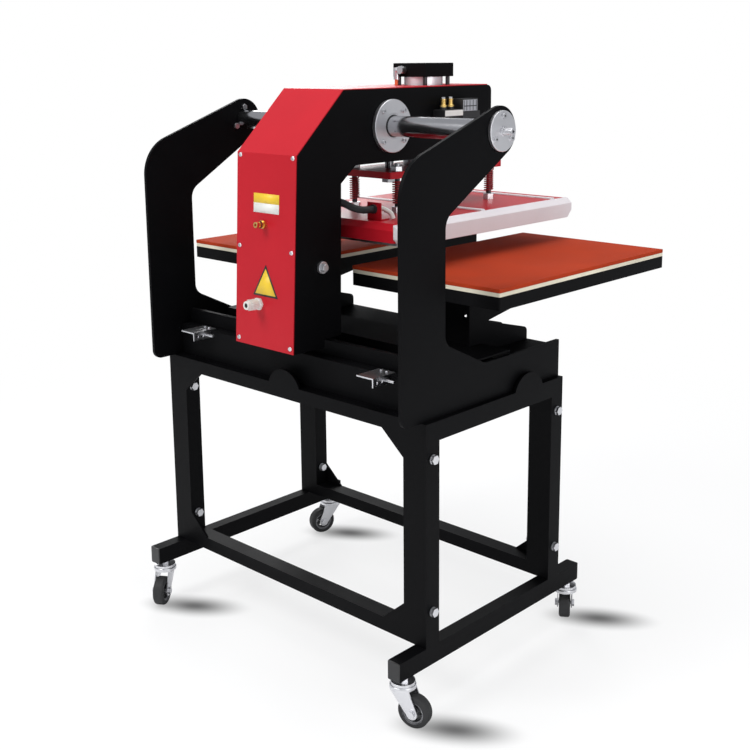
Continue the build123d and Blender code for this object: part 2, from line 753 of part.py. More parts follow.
# Lower platens: a cast tray, a board and a silicone pad at each station
tray_round = 3.0
pad_round = 2.0
station_places = [(-station_x, cyl_y), (station_x, cyl_y)]
with BuildPart() as platen_trays:
    with BuildSketch(flat_plane(tray_z)):
        with Locations(*station_places):
            RectangleRounded(tray_x, tray_y, tray_round)
    extrude(amount=tray_thick)
    with BuildSketch(flat_plane(tray_z)):
        with Locations((-station_x, arm_mid), (station_x, arm_mid)):
            with GridLocations(clear_between / 2, arm_reach / 2, 2, 2):
                Circle(tray_bolt_r + hole_gap)
    extrude(amount=tray_bolt_deep + 1, mode=Mode.SUBTRACT)
platen_trays.part.label = "platen_trays"
export_step(platen_trays.part, "parts/platen_trays.step")

with BuildPart() as base_boards:
    with BuildSketch(flat_plane(tray_z + tray_thick)):
        with Locations(*station_places):
            RectangleRounded(tray_x, tray_y, tray_round)
    extrude(amount=board_thick)
base_boards.part.label = "base_boards"
export_step(base_boards.part, "parts/base_boards.step")

with BuildPart() as silicone_pads:
    with BuildSketch(flat_plane(tray_z + tray_thick + board_thick)):
        with Locations(*station_places):
            RectangleRounded(tray_x, tray_y, pad_round)
    extrude(amount=pad_thick)
silicone_pads.part.label = "silicone_pads"
export_step(silicone_pads.part, "parts/silicone_pads.step")

# Head: silhouette of the two side plates, an upright column with an arm over the platens
foot_z = stand_top + head_rise
head_outline = [(column_low_rear, foot_z), (column_top_rear, stand_top + shoulder_up),
                (crown_y, stand_top + crown_up), (arm_front, stand_top + crown_up),
                (arm_front, stand_top + arm_low), (arm_root_y, stand_top + arm_low),
                (column_top_front, stand_top + throat_up),
                (column_low_front, stand_top + foot_notch_up),
                (foot_notch_rear, stand_top + foot_notch_up), (foot_notch_rear, foot_z)]

# Places on the head's outer faces and on its control box
head_screw_r = 3.0
button_y = 205.0
button_drop = 169.0
button_z = stand_top + throat_up - button_drop
button_r = 8.0
neck_r = 10.8
box_wide = 144.0
box_high = 124.0
box_out = 18.0
box_drop = 81.0
button_fall = 36.0
box_z = stand_top + crown_up - box_drop
start_place = (head_x - 27, box_z - button_fall)
stop_place = (head_x + 46, box_z - button_fall)
hose_x = head_x + 32
hose_r = 4.0
hose_y = cyl_y + cap_side / 2 + 8


def make_head_side(side):
    with BuildPart() as plate:
        with BuildSketch(side_plane(head_x + side * head_wide / 2)):
            with BuildLine():
                Polyline(*head_outline, close=True)
            make_face()
            fillet(vertices().sort_by_distance((arm_front, stand_top + crown_up))[0], arm_round)
            with Locations((shaft_y, shaft_z)):
                Circle(bush_r + hole_gap, mode=Mode.SUBTRACT)
                with PolarLocations(head_screw_pcd / 2, 4, start_angle=45):
                    Circle(head_screw_r + hole_gap, mode=Mode.SUBTRACT)
            if side < 0:
                with Locations((button_y, button_z)):
                    Circle(neck_r + hole_gap, mode=Mode.SUBTRACT)
        extrude(amount=-side * head_sheet)
    return plate


head_side_left = make_head_side(-1)
head_side_left.part.label = "head_side_left"
export_step(head_side_left.part, "parts/head_side_left.step")
head_side_right = make_head_side(1)
head_side_right.part.label = "head_side_right"
export_step(head_side_right.part, "parts/head_side_right.step")

# Rear face of the cover, which leans forward: local x runs along -X, local y up the face
lean = math.atan2(column_low_rear - column_top_rear, stand_top + shoulder_up - foot_z)
cover_out = Vector(0, math.cos(lean), math.sin(lean))
rear_foot = Vector(head_x, stand_y + column_low_rear, foot_z) + cover_out * cover_sheet


def cover_plane(out):
    return Plane(origin=rear_foot + cover_out * out, x_dir=(-1, 0, 0), z_dir=cover_out)


def up_face(z):
    return (z - foot_z) / math.cos(lean)


cover_edge = 1.0      # cover's edge inside the side plates' outer faces
cover_screw_in = 10.0
low_screw_up = 11.0
high_screw_drop = 5.0
mid_screw_shift = 4.0
low_screw_z = foot_z + low_screw_up
high_screw_z = stand_top + shoulder_up - high_screw_drop
cover_screw_up = (low_screw_z, (low_screw_z + high_screw_z) / 2 + mid_screw_shift, high_screw_z)
cover_screw_r = 2.5
inlet_drop = 145.0    # air inlet below the bend of the cover
gland_up = 92.0       # cable gland above the foot of the column
inlet_place = (-4.0, up_face(stand_top + shoulder_up - inlet_drop))
inlet_r = 6.0
gland_place = (-17.0, up_face(foot_z + gland_up))
gland_r = 8.0
cover_screw_places = [(u * (head_wide / 2 - cover_edge - cover_screw_in), up_face(z))
                      for u in (-1, 1) for z in cover_screw_up]
with BuildPart() as head_cover:
    with BuildSketch(side_plane(head_left + cover_edge)):
        with BuildLine():
            Polyline(head_outline[0], head_outline[1], head_outline[2],
                     (arm_front + arm_round, stand_top + crown_up))
            offset(amount=cover_sheet, side=Side.RIGHT)
        make_face()
    extrude(amount=head_wide - 2 * cover_edge)
    with BuildSketch(flat_plane(stand_top + crown_up)):
        with Locations((head_x, cyl_y)):
            Rectangle(cap_side + 2, cap_side + 2)
        with Locations((hose_x, hose_y)):
            Circle(hose_r + free_gap)
    extrude(amount=3 * cover_sheet, both=True, mode=Mode.SUBTRACT)
    with BuildSketch(cover_plane(0)):
        with Locations(*cover_screw_places):
            Circle(cover_screw_r + hole_gap)
        with Locations(inlet_place):
            Circle(inlet_r + hole_gap)
        with Locations(gland_place):
            Circle(gland_r + hole_gap)
    extrude(amount=3 * cover_sheet, both=True, mode=Mode.SUBTRACT)
head_cover.part.label = "head_cover"
export_step(head_cover.part, "parts/head_cover.step")

# Flanges that carry the slide bushes on the head's outer faces
with BuildPart() as head_flanges:
    for side in (-1, 1):
        with BuildSketch(side_plane(head_x + side * head_wide / 2)):
            with Locations((shaft_y, shaft_z)):
                Circle(head_flange_r)
                Circle(bush_r + hole_gap, mode=Mode.SUBTRACT)
                with PolarLocations(head_screw_pcd / 2, 4, start_angle=45):
                    Circle(head_screw_r + hole_gap, mode=Mode.SUBTRACT)
        extrude(amount=side * head_flange_thick)
    chamfer(head_flanges.edges().filter_by(GeomType.CIRCLE).group_by(SortBy.RADIUS)[-1], 1)
head_flanges.part.label = "head_flanges"
export_step(head_flanges.part, "parts/head_flanges.step")

# Bushes: two on the slide shaft, and two with collars on the guide rods
guide_bush_r = 13.0
guide_bush_drop = 8.0
guide_bush_high = 58.0
guide_collar_r = 16.0
guide_collar_high = 6.0
guide_places = [(head_x, cyl_y - guide_pitch / 2), (head_x, cyl_y + guide_pitch / 2)]
with BuildPart() as bushes:
    for side in (-1, 1):
        with BuildSketch(side_plane(head_x + side * (head_wide / 2 + head_flange_thick))):
            with Locations((shaft_y, shaft_z)):
                Circle(bush_r)
                Circle(shaft_r + run_gap, mode=Mode.SUBTRACT)
        extrude(amount=-side * bush_long)
    with BuildSketch(flat_plane(mount_z - guide_bush_drop)):
        with Locations(*guide_places):
            Circle(guide_bush_r)
    extrude(amount=guide_bush_high)
    with BuildSketch(flat_plane(mount_z + mount_plate)):
        with Locations(*guide_places):
            Circle(guide_collar_r)
    extrude(amount=guide_collar_high)
    with BuildSketch(flat_plane(mount_z - guide_bush_drop)):
        with Locations(*guide_places):
            Circle(guide_r + run_gap)
    extrude(amount=guide_bush_high, mode=Mode.SUBTRACT)
bushes.part.label = "bushes"
export_step(bushes.part, "parts/bushes.step")

# Screws of the head: socket screws in the flanges and pan heads in the cover
socket_head_r = 5.5
socket_head_high = 5.0
with BuildPart() as head_screws:
    for side in (-1, 1):
        flange_face = head_x + side * (head_wide / 2 + head_flange_thick)
        for start, length, shape_r in ((flange_face, socket_head_high, socket_head_r),
                                       (flange_face, -head_flange_thick - head_sheet, head_screw_r)):
            with BuildSketch(side_plane(start)):
                with Locations((shaft_y, shaft_z)):
                    with PolarLocations(head_screw_pcd / 2, 4, start_angle=45):
                        Circle(shape_r)
            extrude(amount=side * length)
        with BuildSketch(side_plane(flange_face + side * socket_head_high)):
            with Locations((shaft_y, shaft_z)):
                with PolarLocations(head_screw_pcd / 2, 4, start_angle=45):
                    RegularPolygon(head_screw_r, 6)
        extrude(amount=-side * head_screw_r, mode=Mode.SUBTRACT)
    with BuildSketch(cover_plane(0)):
        with Locations(*cover_screw_places):
            Circle(2 * cover_screw_r)
    extrude(amount=cover_screw_r, taper=30)
    with BuildSketch(cover_plane(0)):
        with Locations(*cover_screw_places):
            Circle(cover_screw_r)
    extrude(amount=-cover_sheet)
head_screws.part.label = "head_screws"
export_step(head_screws.part, "parts/head_screws.step")

# Plate inside the arm that carries the cylinder and the guide bushes
inner_wide = head_wide - 2 * head_sheet
panel_sheet = 2.0
with BuildPart() as cylinder_mount_plate:
    plate_front = arm_front + panel_sheet + free_gap
    plate_rear = arm_root_y - 2
    with BuildSketch(flat_plane(mount_z)):
        with Locations((head_x, (plate_front + plate_rear) / 2)):
            Rectangle(inner_wide, plate_rear - plate_front)
        with Locations((head_x, cyl_y)):
            Circle(rod_r + 2, mode=Mode.SUBTRACT)
        with Locations(*guide_places):
            Circle(guide_bush_r + hole_gap, mode=Mode.SUBTRACT)
    extrude(amount=mount_plate)
cylinder_mount_plate.part.label = "cylinder_mount_plate"
export_step(cylinder_mount_plate.part, "parts/cylinder_mount_plate.step")

# Column panel: closes the column's front, with a foot plate inside that carries the guide shoe
foot_plate = 8.0
conduit_x = head_x - 72
conduit_drop = 41.0
conduit_z = stand_top + throat_up - conduit_drop
conduit_r = 5.0
column_lean = (column_low_front - column_top_front) / (throat_up - foot_notch_up)
conduit_y = column_top_front + column_lean * (stand_top + throat_up - conduit_z)
with BuildPart() as column_panel:
    with BuildSketch(side_plane(head_x - inner_wide / 2)):
        with BuildLine():
            Polyline((column_top_front, stand_top + throat_up), (column_low_front, stand_top + foot_notch_up),
                     (column_low_rear - 2, stand_top + foot_notch_up),
                     (column_low_rear - 2, stand_top + foot_notch_up + foot_plate),
                     (column_low_front + panel_sheet, stand_top + foot_notch_up + foot_plate),
                     (column_top_front + panel_sheet, stand_top + throat_up), close=True)
        make_face()
    extrude(amount=inner_wide)
    with BuildSketch(rear_plane(conduit_y)):
        with Locations((conduit_x, conduit_z)):
            Circle(conduit_r + hole_gap)
    extrude(amount=3 * panel_sheet, both=True, mode=Mode.SUBTRACT)
column_panel.part.label = "column_panel"
export_step(column_panel.part, "parts/column_panel.step")

# Guide shoe: a plastic block under the foot plate, slotted over the guide bar
shoe_long = 80.0
shoe_wall = 10.0
shoe_drop = 34.0
bar_mid = bar_front + bar_thick / 2
with BuildPart() as guide_shoe:
    with BuildSketch(side_plane(head_x - shoe_long / 2)):
        with Locations((bar_mid, stand_top + foot_notch_up - shoe_drop / 2)):
            Rectangle(bar_thick + 2 * (shoe_wall + free_gap), shoe_drop)
        with Locations((bar_mid, rear_ledge + (bar_rise + free_gap) / 2)):
            Rectangle(bar_thick + 2 * free_gap, bar_rise + free_gap, mode=Mode.SUBTRACT)
    extrude(amount=shoe_long)
guide_shoe.part.label = "guide_shoe"
export_step(guide_shoe.part, "parts/guide_shoe.step")

# Control panel: closes the arm's front and carries a raised box
display_wide = 90.0
display_high = 46.0
display_z = box_z + 22
with BuildPart() as control_panel:
    top_z = stand_top + crown_up
    inner_round = arm_round - panel_sheet
    with BuildSketch(side_plane(head_x - inner_wide / 2)):
        with BuildLine():
            Line((arm_front, mount_z), (arm_front, top_z - arm_round))
            RadiusArc((arm_front, top_z - arm_round), (arm_front + arm_round, top_z), arm_round)
            Line((arm_front + arm_round, top_z), (arm_front + arm_round, top_z - panel_sheet))
            RadiusArc((arm_front + arm_round, top_z - panel_sheet),
                      (arm_front + panel_sheet, top_z - arm_round), -inner_round)
            Polyline((arm_front + panel_sheet, top_z - arm_round), (arm_front + panel_sheet, mount_z),
                     (arm_front, mount_z))
        make_face()
    extrude(amount=inner_wide)
    with BuildSketch(rear_plane(arm_front)):
        with Locations((head_x, box_z)):
            RectangleRounded(box_wide, box_high, 4)
    extrude(amount=box_out)
    with BuildSketch(rear_plane(arm_front + 2 * panel_sheet)):
        with Locations((head_x, box_z)):
            Rectangle(box_wide - 2 * panel_sheet, box_high - 2 * panel_sheet)
    extrude(amount=box_out + panel_sheet, mode=Mode.SUBTRACT)
    with BuildSketch(rear_plane(arm_front - box_out + 2 * panel_sheet)):
        with Locations((head_x, display_z)):
            Rectangle(display_wide - 8, display_high - 8)
        with Locations(start_place, stop_place):
            Circle(neck_r + hole_gap)
    extrude(amount=4 * panel_sheet, mode=Mode.SUBTRACT)
control_panel.part.label = "control_panel"
export_step(control_panel.part, "parts/control_panel.step")

# Display: a bezel on the box's face with its body behind
display_deep = 14.0
display_out = 3.0
with BuildPart() as display_module:
    with BuildSketch(rear_plane(arm_front - box_out)):
        with Locations((head_x, display_z)):
            RectangleRounded(display_wide, display_high, 3)
    extrude(amount=display_out)
    with BuildSketch(rear_plane(arm_front - box_out)):
        with Locations((head_x, display_z)):
            Rectangle(display_wide - 8 - 2 * hole_gap, display_high - 8 - 2 * hole_gap)
    extrude(amount=-display_deep)
    with BuildSketch(rear_plane(arm_front - box_out - display_out)):
        with Locations((head_x, display_z)):
            Rectangle(display_wide - 14, display_high - 14)
    extrude(amount=-1, mode=Mode.SUBTRACT)
display_module.part.label = "display_module"
export_step(display_module.part, "parts/display_module.step")

# Bezels of the three buttons: a ring outside, a neck through the sheet and a nut behind
bezel_r = 13.0
bezel_out = 6.0
bezel_neck = 22.0
bezel_nut = 4.0


def button_planes():
    side_face = side_plane(head_left)
    box_face = rear_plane(arm_front - box_out)
    return [(side_face, (button_y, button_z), -1, head_sheet),
            (box_face, start_place, 1, panel_sheet), (box_face, stop_place, 1, panel_sheet)]


with BuildPart() as button_bezels:
    for face, place, out, sheet in button_planes():
        with BuildSketch(face):
            with Locations(place):
                Circle(bezel_r)
        extrude(amount=out * bezel_out)
        with BuildSketch(face):
            with Locations(place):
                Circle(neck_r)
        extrude(amount=-out * bezel_neck)
        with BuildSketch(face.offset(-out * sheet)):
            with Locations(place):
                RegularPolygon(bezel_r, 6, major_radius=False)
        extrude(amount=-out * bezel_nut)
        with BuildSketch(face.offset(out * bezel_out)):
            with Locations(place):
                Circle(button_r + free_gap)
        extrude(amount=-out * (bezel_out + bezel_neck - 2), mode=Mode.SUBTRACT)
button_bezels.part.label = "button_bezels"
export_step(button_bezels.part, "parts/button_bezels.step")

# The three buttons: two green push buttons and a red mushroom for the emergency stop
button_travel = 3.0
button_out = 8.0
button_in = 16.0
mushroom_r = 19.0
mushroom_high = 11.0
mushroom_gap = 6.0


def make_push_button(face, place, out):
    with BuildPart() as button:
        with BuildSketch(face.offset(out * (bezel_out + button_out))):
            with Locations(place):
                Circle(button_r)
        extrude(amount=-out * (button_out + bezel_out + button_in - button_travel))
        fillet(button.edges().filter_by(GeomType.CIRCLE).sort_by_distance(
            face.offset(out * (bezel_out + button_out)).from_local_coords((place[0], place[1], 0)))[0], 1.5)
    return button


side_button, start_face, stop_face = button_planes()
reset_button = make_push_button(*side_button[:3])
reset_button.part.label = "reset_button"
export_step(reset_button.part, "parts/reset_button.step")
start_button = make_push_button(*start_face[:3])
start_button.part.label = "start_button"
export_step(start_button.part, "parts/start_button.step")

with BuildPart() as emergency_stop:
    with BuildSketch(stop_face[0].offset(bezel_out + mushroom_gap)):
        with Locations(stop_place):
            Circle(mushroom_r)
    extrude(amount=mushroom_high)
    fillet(emergency_stop.edges().filter_by(GeomType.CIRCLE).group_by(Axis.Y)[0], mushroom_high / 2)
    with BuildSketch(stop_face[0].offset(bezel_out + mushroom_gap)):
        with Locations(stop_place):
            Circle(button_r)
    extrude(amount=-(bezel_out + mushroom_gap + button_in - mushroom_gap + 1))
emergency_stop.part.label = "emergency_stop"
export_step(emergency_stop.part, "parts/emergency_stop.step")

# Air cylinder: tube between two caps, drawn together by four tie rods
with BuildPart() as cylinder_barrel:
    with BuildSketch(flat_plane(lower_cap_z + cap_thick)):
        with Locations((head_x, cyl_y)):
            Circle(tube_r)
            Circle(bore_r, mode=Mode.SUBTRACT)
            with GridLocations(tie_pitch, tie_pitch, 2, 2):
                Circle(tie_r)
    extrude(amount=cap_low - lower_cap_z - cap_thick)
cylinder_barrel.part.label = "cylinder_barrel"
export_step(cylinder_barrel.part, "parts/cylinder_barrel.step")

with BuildPart() as cylinder_caps:
    with BuildSketch(flat_plane(lower_cap_z)):
        with Locations((head_x, cyl_y)):
            RectangleRounded(cap_side, cap_side, 2)
            Circle(rod_r + run_gap, mode=Mode.SUBTRACT)
    extrude(amount=cap_thick)
    with BuildSketch(flat_plane(cap_low)):
        with Locations((head_x, cyl_y)):
            RectangleRounded(cap_side, cap_side, 2)
    extrude(amount=cap_thick)
    chamfer(cylinder_caps.edges().group_by(Axis.Z)[-1], 1)
cylinder_caps.part.label = "cylinder_caps"
export_step(cylinder_caps.part, "parts/cylinder_caps.step")

# Elbow fitting on the upper cap, and the hose from it to the inner face of the valve side
fitting_z = cap_low + cap_thick / 2
fitting_x = head_x + 16
fitting_r = 9.0
elbow_r = 6.5
elbow_low = cap_low - 6
with BuildPart() as air_fitting:
    with BuildSketch(rear_plane(cyl_y + cap_side / 2)):
        with Locations((fitting_x, fitting_z)):
            Circle(fitting_r)
    extrude(amount=-fitting_r - 6)
    with BuildSketch(side_plane(fitting_x)):
        with Locations((hose_y, fitting_z)):
            Circle(elbow_r)
    extrude(amount=hose_x - fitting_x)
    with BuildSketch(flat_plane(elbow_low)):
        with Locations((hose_x, hose_y)):
            Circle(elbow_r)
    extrude(amount=fitting_z - elbow_low + elbow_r - 1)
air_fitting.part.label = "air_fitting"
export_step(air_fitting.part, "parts/air_fitting.step")

hose_bend = 28.0
hose_out = 10.0
hose_end_z = stand_top + crown_up - 63
hose_turn_z = hose_end_z + hose_out
hose_end = (head_left + head_sheet + 2, stand_y + hose_y, hose_end_z)
hose_start = (hose_x, stand_y + hose_y, elbow_low)
with BuildPart() as air_hose:
    with BuildLine() as hose_path:
        FilletPolyline(hose_start, (hose_x, stand_y + hose_y, hose_turn_z), hose_end, radius=hose_bend)
    with BuildSketch(Plane(origin=hose_path.line @ 0, z_dir=hose_path.line % 0)):
        Circle(hose_r)
    sweep()
air_hose.part.label = "air_hose"
export_step(air_hose.part, "parts/air_hose.step")
print("air hose length", round(hose_path.wire().length, 1), "bend radius", hose_bend)

# Valve group on the left side plate: manifold, coil and connector
valve_out = 34.0
valve_low = stand_top + crown_up - 72
valve_boxes = [((-182.0, 13.0), 64.0, 16.0), ((-240.0, 30.0), 56.0, 28.0), ((-245.0, 8.0), 62.0, 16.0)]
silencer_y = (-165.0, -190.0)
silencer_low = valve_low + 21
with BuildPart() as valve_block:
    for (mid_y, mid_up), wide, high in valve_boxes:
        with BuildSketch(side_plane(head_left)):
            with Locations((mid_y, valve_low + mid_up)):
                Rectangle(wide, high)
        extrude(amount=-valve_out)
    with BuildSketch(flat_plane(silencer_low)):
        with Locations(*[(head_left - valve_out / 2, y) for y in silencer_y]):
            Circle(8)
    extrude(amount=6)
valve_block.part.label = "valve_block"
export_step(valve_block.part, "parts/valve_block.step")

# Brass pieces: two silencers on the manifold, and the air inlet on the cover
with BuildPart() as brass_fittings:
    with BuildSketch(flat_plane(silencer_low + 6)):
        with Locations(*[(head_left - valve_out / 2, y) for y in silencer_y]):
            RegularPolygon(7, 6)
    extrude(amount=5)
    with BuildSketch(flat_plane(silencer_low + 11)):
        with Locations(*[(head_left - valve_out / 2, y) for y in silencer_y]):
            Circle(5.5)
    extrude(amount=12)
    chamfer(brass_fittings.edges().group_by(Axis.Z)[-1], 2)
    for out, length, shape_r, hexagon in ((0, 6, 8.5, True), (6, 10, 7, False), (16, 8, 6, False)):
        with BuildSketch(cover_plane(out)):
            with Locations(inlet_place):
                if hexagon:
                    RegularPolygon(shape_r, 6, major_radius=False)
                else:
                    Circle(shape_r)
        extrude(amount=length)
    with BuildSketch(cover_plane(-cover_sheet - 8)):
        with Locations(inlet_place):
            Circle(inlet_r)
    extrude(amount=cover_sheet + 8)
    with BuildSketch(cover_plane(24)):
        with Locations(inlet_place):
            Circle(3)
    extrude(amount=-14, mode=Mode.SUBTRACT)
brass_fittings.part.label = "brass_fittings"
export_step(brass_fittings.part, "parts/brass_fittings.step")

# Cable gland on the cover: hexagon, barrel, domed nut, and a lock nut inside
with BuildPart() as cable_gland:
    for out, length, shape_r, hexagon in ((0, 6, 12, True), (6, 8, 10.5, False)):
        with BuildSketch(cover_plane(out)):
            with Locations(gland_place):
                if hexagon:
                    RegularPolygon(shape_r, 6, major_radius=False)
                else:
                    Circle(shape_r)
        extrude(amount=length)
    with BuildSketch(cover_plane(14)):
        with Locations(gland_place):
            Circle(12)
    extrude(amount=22, taper=8)
    with BuildSketch(cover_plane(-cover_sheet - 4)):
        with Locations(gland_place):
            RegularPolygon(12, 6, major_radius=False)
    extrude(amount=4)
    with BuildSketch(cover_plane(-cover_sheet)):
        with Locations(gland_place):
            Circle(gland_r)
    extrude(amount=cover_sheet)
    with BuildSketch(cover_plane(36)):
        with Locations(gland_place):
            Circle(5)
    extrude(amount=-30, mode=Mode.SUBTRACT)
cable_gland.part.label = "cable_gland"
export_step(cable_gland.part, "parts/cable_gland.step")

# Piston with its rod and the coupling disc on the press plate
piston_low = cap_low - piston_thick - 8
coupling_z = press_z + press_thick
with BuildPart() as piston_rod:
    for low, high, shape_r in ((piston_low, piston_thick, bore_r - run_gap),
                               (coupling_z, piston_low - coupling_z, rod_r),
                               (coupling_z, coupling_thick, coupling_r)):
        with BuildSketch(flat_plane(low)):
            with Locations((head_x, cyl_y)):
                Circle(shape_r)
        extrude(amount=high)
piston_rod.part.label = "piston_rod"
export_step(piston_rod.part, "parts/piston_rod.step")

with BuildPart() as press_plate:
    with BuildSketch(flat_plane(press_z)):
        with Locations((head_x, cyl_y)):
            RectangleRounded(press_x, press_y, 6)
            with GridLocations(post_pitch_x, post_pitch_y, 2, 2):
                Circle(post_r + free_gap, mode=Mode.SUBTRACT)
        with Locations(*guide_places):
            Circle(guide_r + hole_gap, mode=Mode.SUBTRACT)
    extrude(amount=press_thick)
press_plate.part.label = "press_plate"
export_step(press_plate.part, "parts/press_plate.step")

guide_nut_high = 17.0
guide_nut_across = 30.0
with BuildPart() as guide_rods:
    with BuildSketch(flat_plane(press_z - guide_nut_high)):
        with Locations(*guide_places):
            Circle(guide_r)
    extrude(amount=stand_top + crown_up - guide_drop - press_z + guide_nut_high)
    with BuildSketch(flat_plane(press_z)):
        with Locations(*guide_places):
            RegularPolygon(guide_nut_across / 2, 6, major_radius=False)
    extrude(amount=-guide_nut_high)
guide_rods.part.label = "guide_rods"
export_step(guide_rods.part, "parts/guide_rods.step")

# Posts that carry the platen: screwed into the heating plate, free to rise through the press plate
post_places = [(head_x + i * post_pitch_x / 2, cyl_y + j * post_pitch_y / 2) for i in (-1, 1) for j in (-1, 1)]
top_nut_high = 11.0
post_above = 6.0
with BuildPart() as spring_posts:
    with BuildSketch(flat_plane(platen_z)):
        with Locations(*post_places):
            Circle(post_r)
    extrude(amount=coupling_z + free_gap + top_nut_high + post_above - platen_z)
    for low, high in ((cover_top, post_nut_high), (coupling_z + free_gap, top_nut_high)):
        with BuildSketch(flat_plane(low)):
            with Locations(*post_places):
                RegularPolygon(post_nut_across / 2, 6, major_radius=False)
        extrude(amount=high)
spring_posts.part.label = "spring_posts"
export_step(spring_posts.part, "parts/spring_posts.step")

# Springs round the posts: one wire each, wound on short tangent arcs, with ends square to their seats
spring_low = cover_top + post_nut_high + free_gap
spring_high = press_z - 0.05
wire_end = 2 * wire_r
coil_low = spring_low + wire_end + spring_bend
coil_high = spring_high - wire_end - spring_bend


def spring_point(turns, centre):
    angle = turns * 2 * math.pi
    rise = (coil_high - coil_low) / spring_turns
    point = Vector(centre[0] + spring_r * math.cos(angle), stand_y + centre[1] + spring_r * math.sin(angle),
                   coil_low + rise * turns)
    along = Vector(-spring_r * math.sin(angle), spring_r * math.cos(angle), rise / (2 * math.pi)).normalized()
    return point, along


# Joint of two arcs that leave and reach their ends along the given directions
def arc_joint(start, start_way, end, end_way):
    chord = end - start
    both = start_way + end_way
    bend = 2 * (start_way.dot(end_way) - 1)
    pull = -2 * chord.dot(both)
    reach = (-pull - math.sqrt(pull * pull - 4 * bend * chord.dot(chord))) / (2 * bend)
    near = start + start_way * reach
    far = end - end_way * reach
    return (near + far) * 0.5, (far - near).normalized()


def add_bend(start, start_way, end, end_way):
    joint, way = arc_joint(start, start_way, end, end_way)
    TangentArc(start, joint, tangent=start_way)
    TangentArc(joint, end, tangent=way)


def spring_least_gap(centre, samples=40):
    points = [spring_point(k / samples, centre)[0] for k in range(int(spring_turns * samples) + 1)]
    apart = samples // 2
    least = min((points[i] - points[j]).length for i in range(len(points)) for j in range(i + apart, len(points)))
    return least - 2 * wire_r


with BuildPart() as platen_springs:
    for centre in post_places:
        steps = int(round(spring_turns * 4))
        places = [spring_point(spring_turns * k / steps, centre) for k in range(steps + 1)]
        first, first_way = places[0]
        last, last_way = places[-1]
        foot = first - Vector(first_way.X, first_way.Y, 0).normalized() * spring_bend - Vector(0, 0, spring_bend)
        head = last + Vector(last_way.X, last_way.Y, 0).normalized() * spring_bend + Vector(0, 0, spring_bend)
        with BuildLine() as coil:
            Line(foot - Vector(0, 0, wire_end), foot)
            add_bend(foot, Vector(0, 0, 1), first, first_way)
            for (near, near_way), (far, far_way) in zip(places, places[1:]):
                add_bend(near, near_way, far, far_way)
            add_bend(last, last_way, head, Vector(0, 0, 1))
            Line(head, head + Vector(0, 0, wire_end))
        with BuildSketch(Plane(origin=foot - Vector(0, 0, wire_end), z_dir=(0, 0, 1))):
            Circle(wire_r)
        sweep(path=coil.wire())
platen_springs.part.label = "platen_springs"
export_step(platen_springs.part, "parts/platen_springs.step")
print("spring gap to itself", round(spring_least_gap(post_places[0]), 2), "turns", 4 * spring_turns)

# Platen cover: a shell with bevelled ends over the heating plate
cover_half_x = platen_x / 2 - guard_thick
cover_half_y = platen_y / 2
cover_high = cover_side + cover_bevel
with BuildPart() as platen_cover:
    with BuildSketch(side_plane(head_x - cover_half_x)):
        with BuildLine():
            Polyline((cyl_y - cover_half_y, platen_z), (cyl_y - cover_half_y, platen_z + cover_side),
                     (cyl_y - cover_half_y + cover_bevel, cover_top), (cyl_y + cover_half_y - cover_bevel, cover_top),
                     (cyl_y + cover_half_y, platen_z + cover_side), (cyl_y + cover_half_y, platen_z), close=True)
        make_face()
    extrude(amount=2 * cover_half_x)
    with BuildSketch(flat_plane(platen_z)):
        with Locations((head_x, cyl_y)):
            Rectangle(2 * (cover_half_x - cover_wall), 2 * (cover_half_y - cover_bevel))
    extrude(amount=cover_high - cover_wall, mode=Mode.SUBTRACT)
    with BuildSketch(flat_plane(cover_top)):
        with Locations(*post_places):
            Circle(post_r + hole_gap)
    extrude(amount=-2 * cover_wall, mode=Mode.SUBTRACT)
platen_cover.part.label = "platen_cover"
export_step(platen_cover.part, "parts/platen_cover.step")

# Side guards of the platen with bevelled tops and cut lower corners, and two stiffening ribs
rib_wide = 14.0
rib_high = 3.0
with BuildPart() as platen_guards:
    for side in (-1, 1):
        inner = head_x + side * cover_half_x
        outer = head_x + side * platen_x / 2
        with BuildSketch(rear_plane(cyl_y + cover_half_y)):
            Polygon((inner, guard_z), (outer, guard_z), (outer, platen_z + cover_side),
                    (outer - side * cover_bevel, cover_top), (inner, cover_top), align=None)
        extrude(amount=platen_y)
        with BuildSketch(side_plane(inner - side)):
            for end in (-1, 1):
                edge_y = cyl_y + end * cover_half_y
                Polygon((edge_y + end, guard_z - 1), (edge_y + end, guard_z + guard_cut),
                        (edge_y, guard_z + guard_cut), (edge_y - end * guard_cut, guard_z),
                        (edge_y - end * guard_cut, guard_z - 1), align=None)
        extrude(amount=side * (guard_thick + 2), mode=Mode.SUBTRACT)
    with BuildSketch(flat_plane(cover_top)):
        with Locations(*[(head_x, y) for y in rib_y]):
            Rectangle(2 * cover_half_x, rib_wide)
    extrude(amount=rib_high)
platen_guards.part.label = "platen_guards"
export_step(platen_guards.part, "parts/platen_guards.step")

with BuildPart() as heating_plate:
    with BuildSketch(flat_plane(platen_z)):
        with Locations((head_x, cyl_y)):
            RectangleRounded(2 * (cover_half_x - hole_gap), heater_y, 4)
    extrude(amount=-heater_thick)
heating_plate.part.label = "heating_plate"
export_step(heating_plate.part, "parts/heating_plate.step")

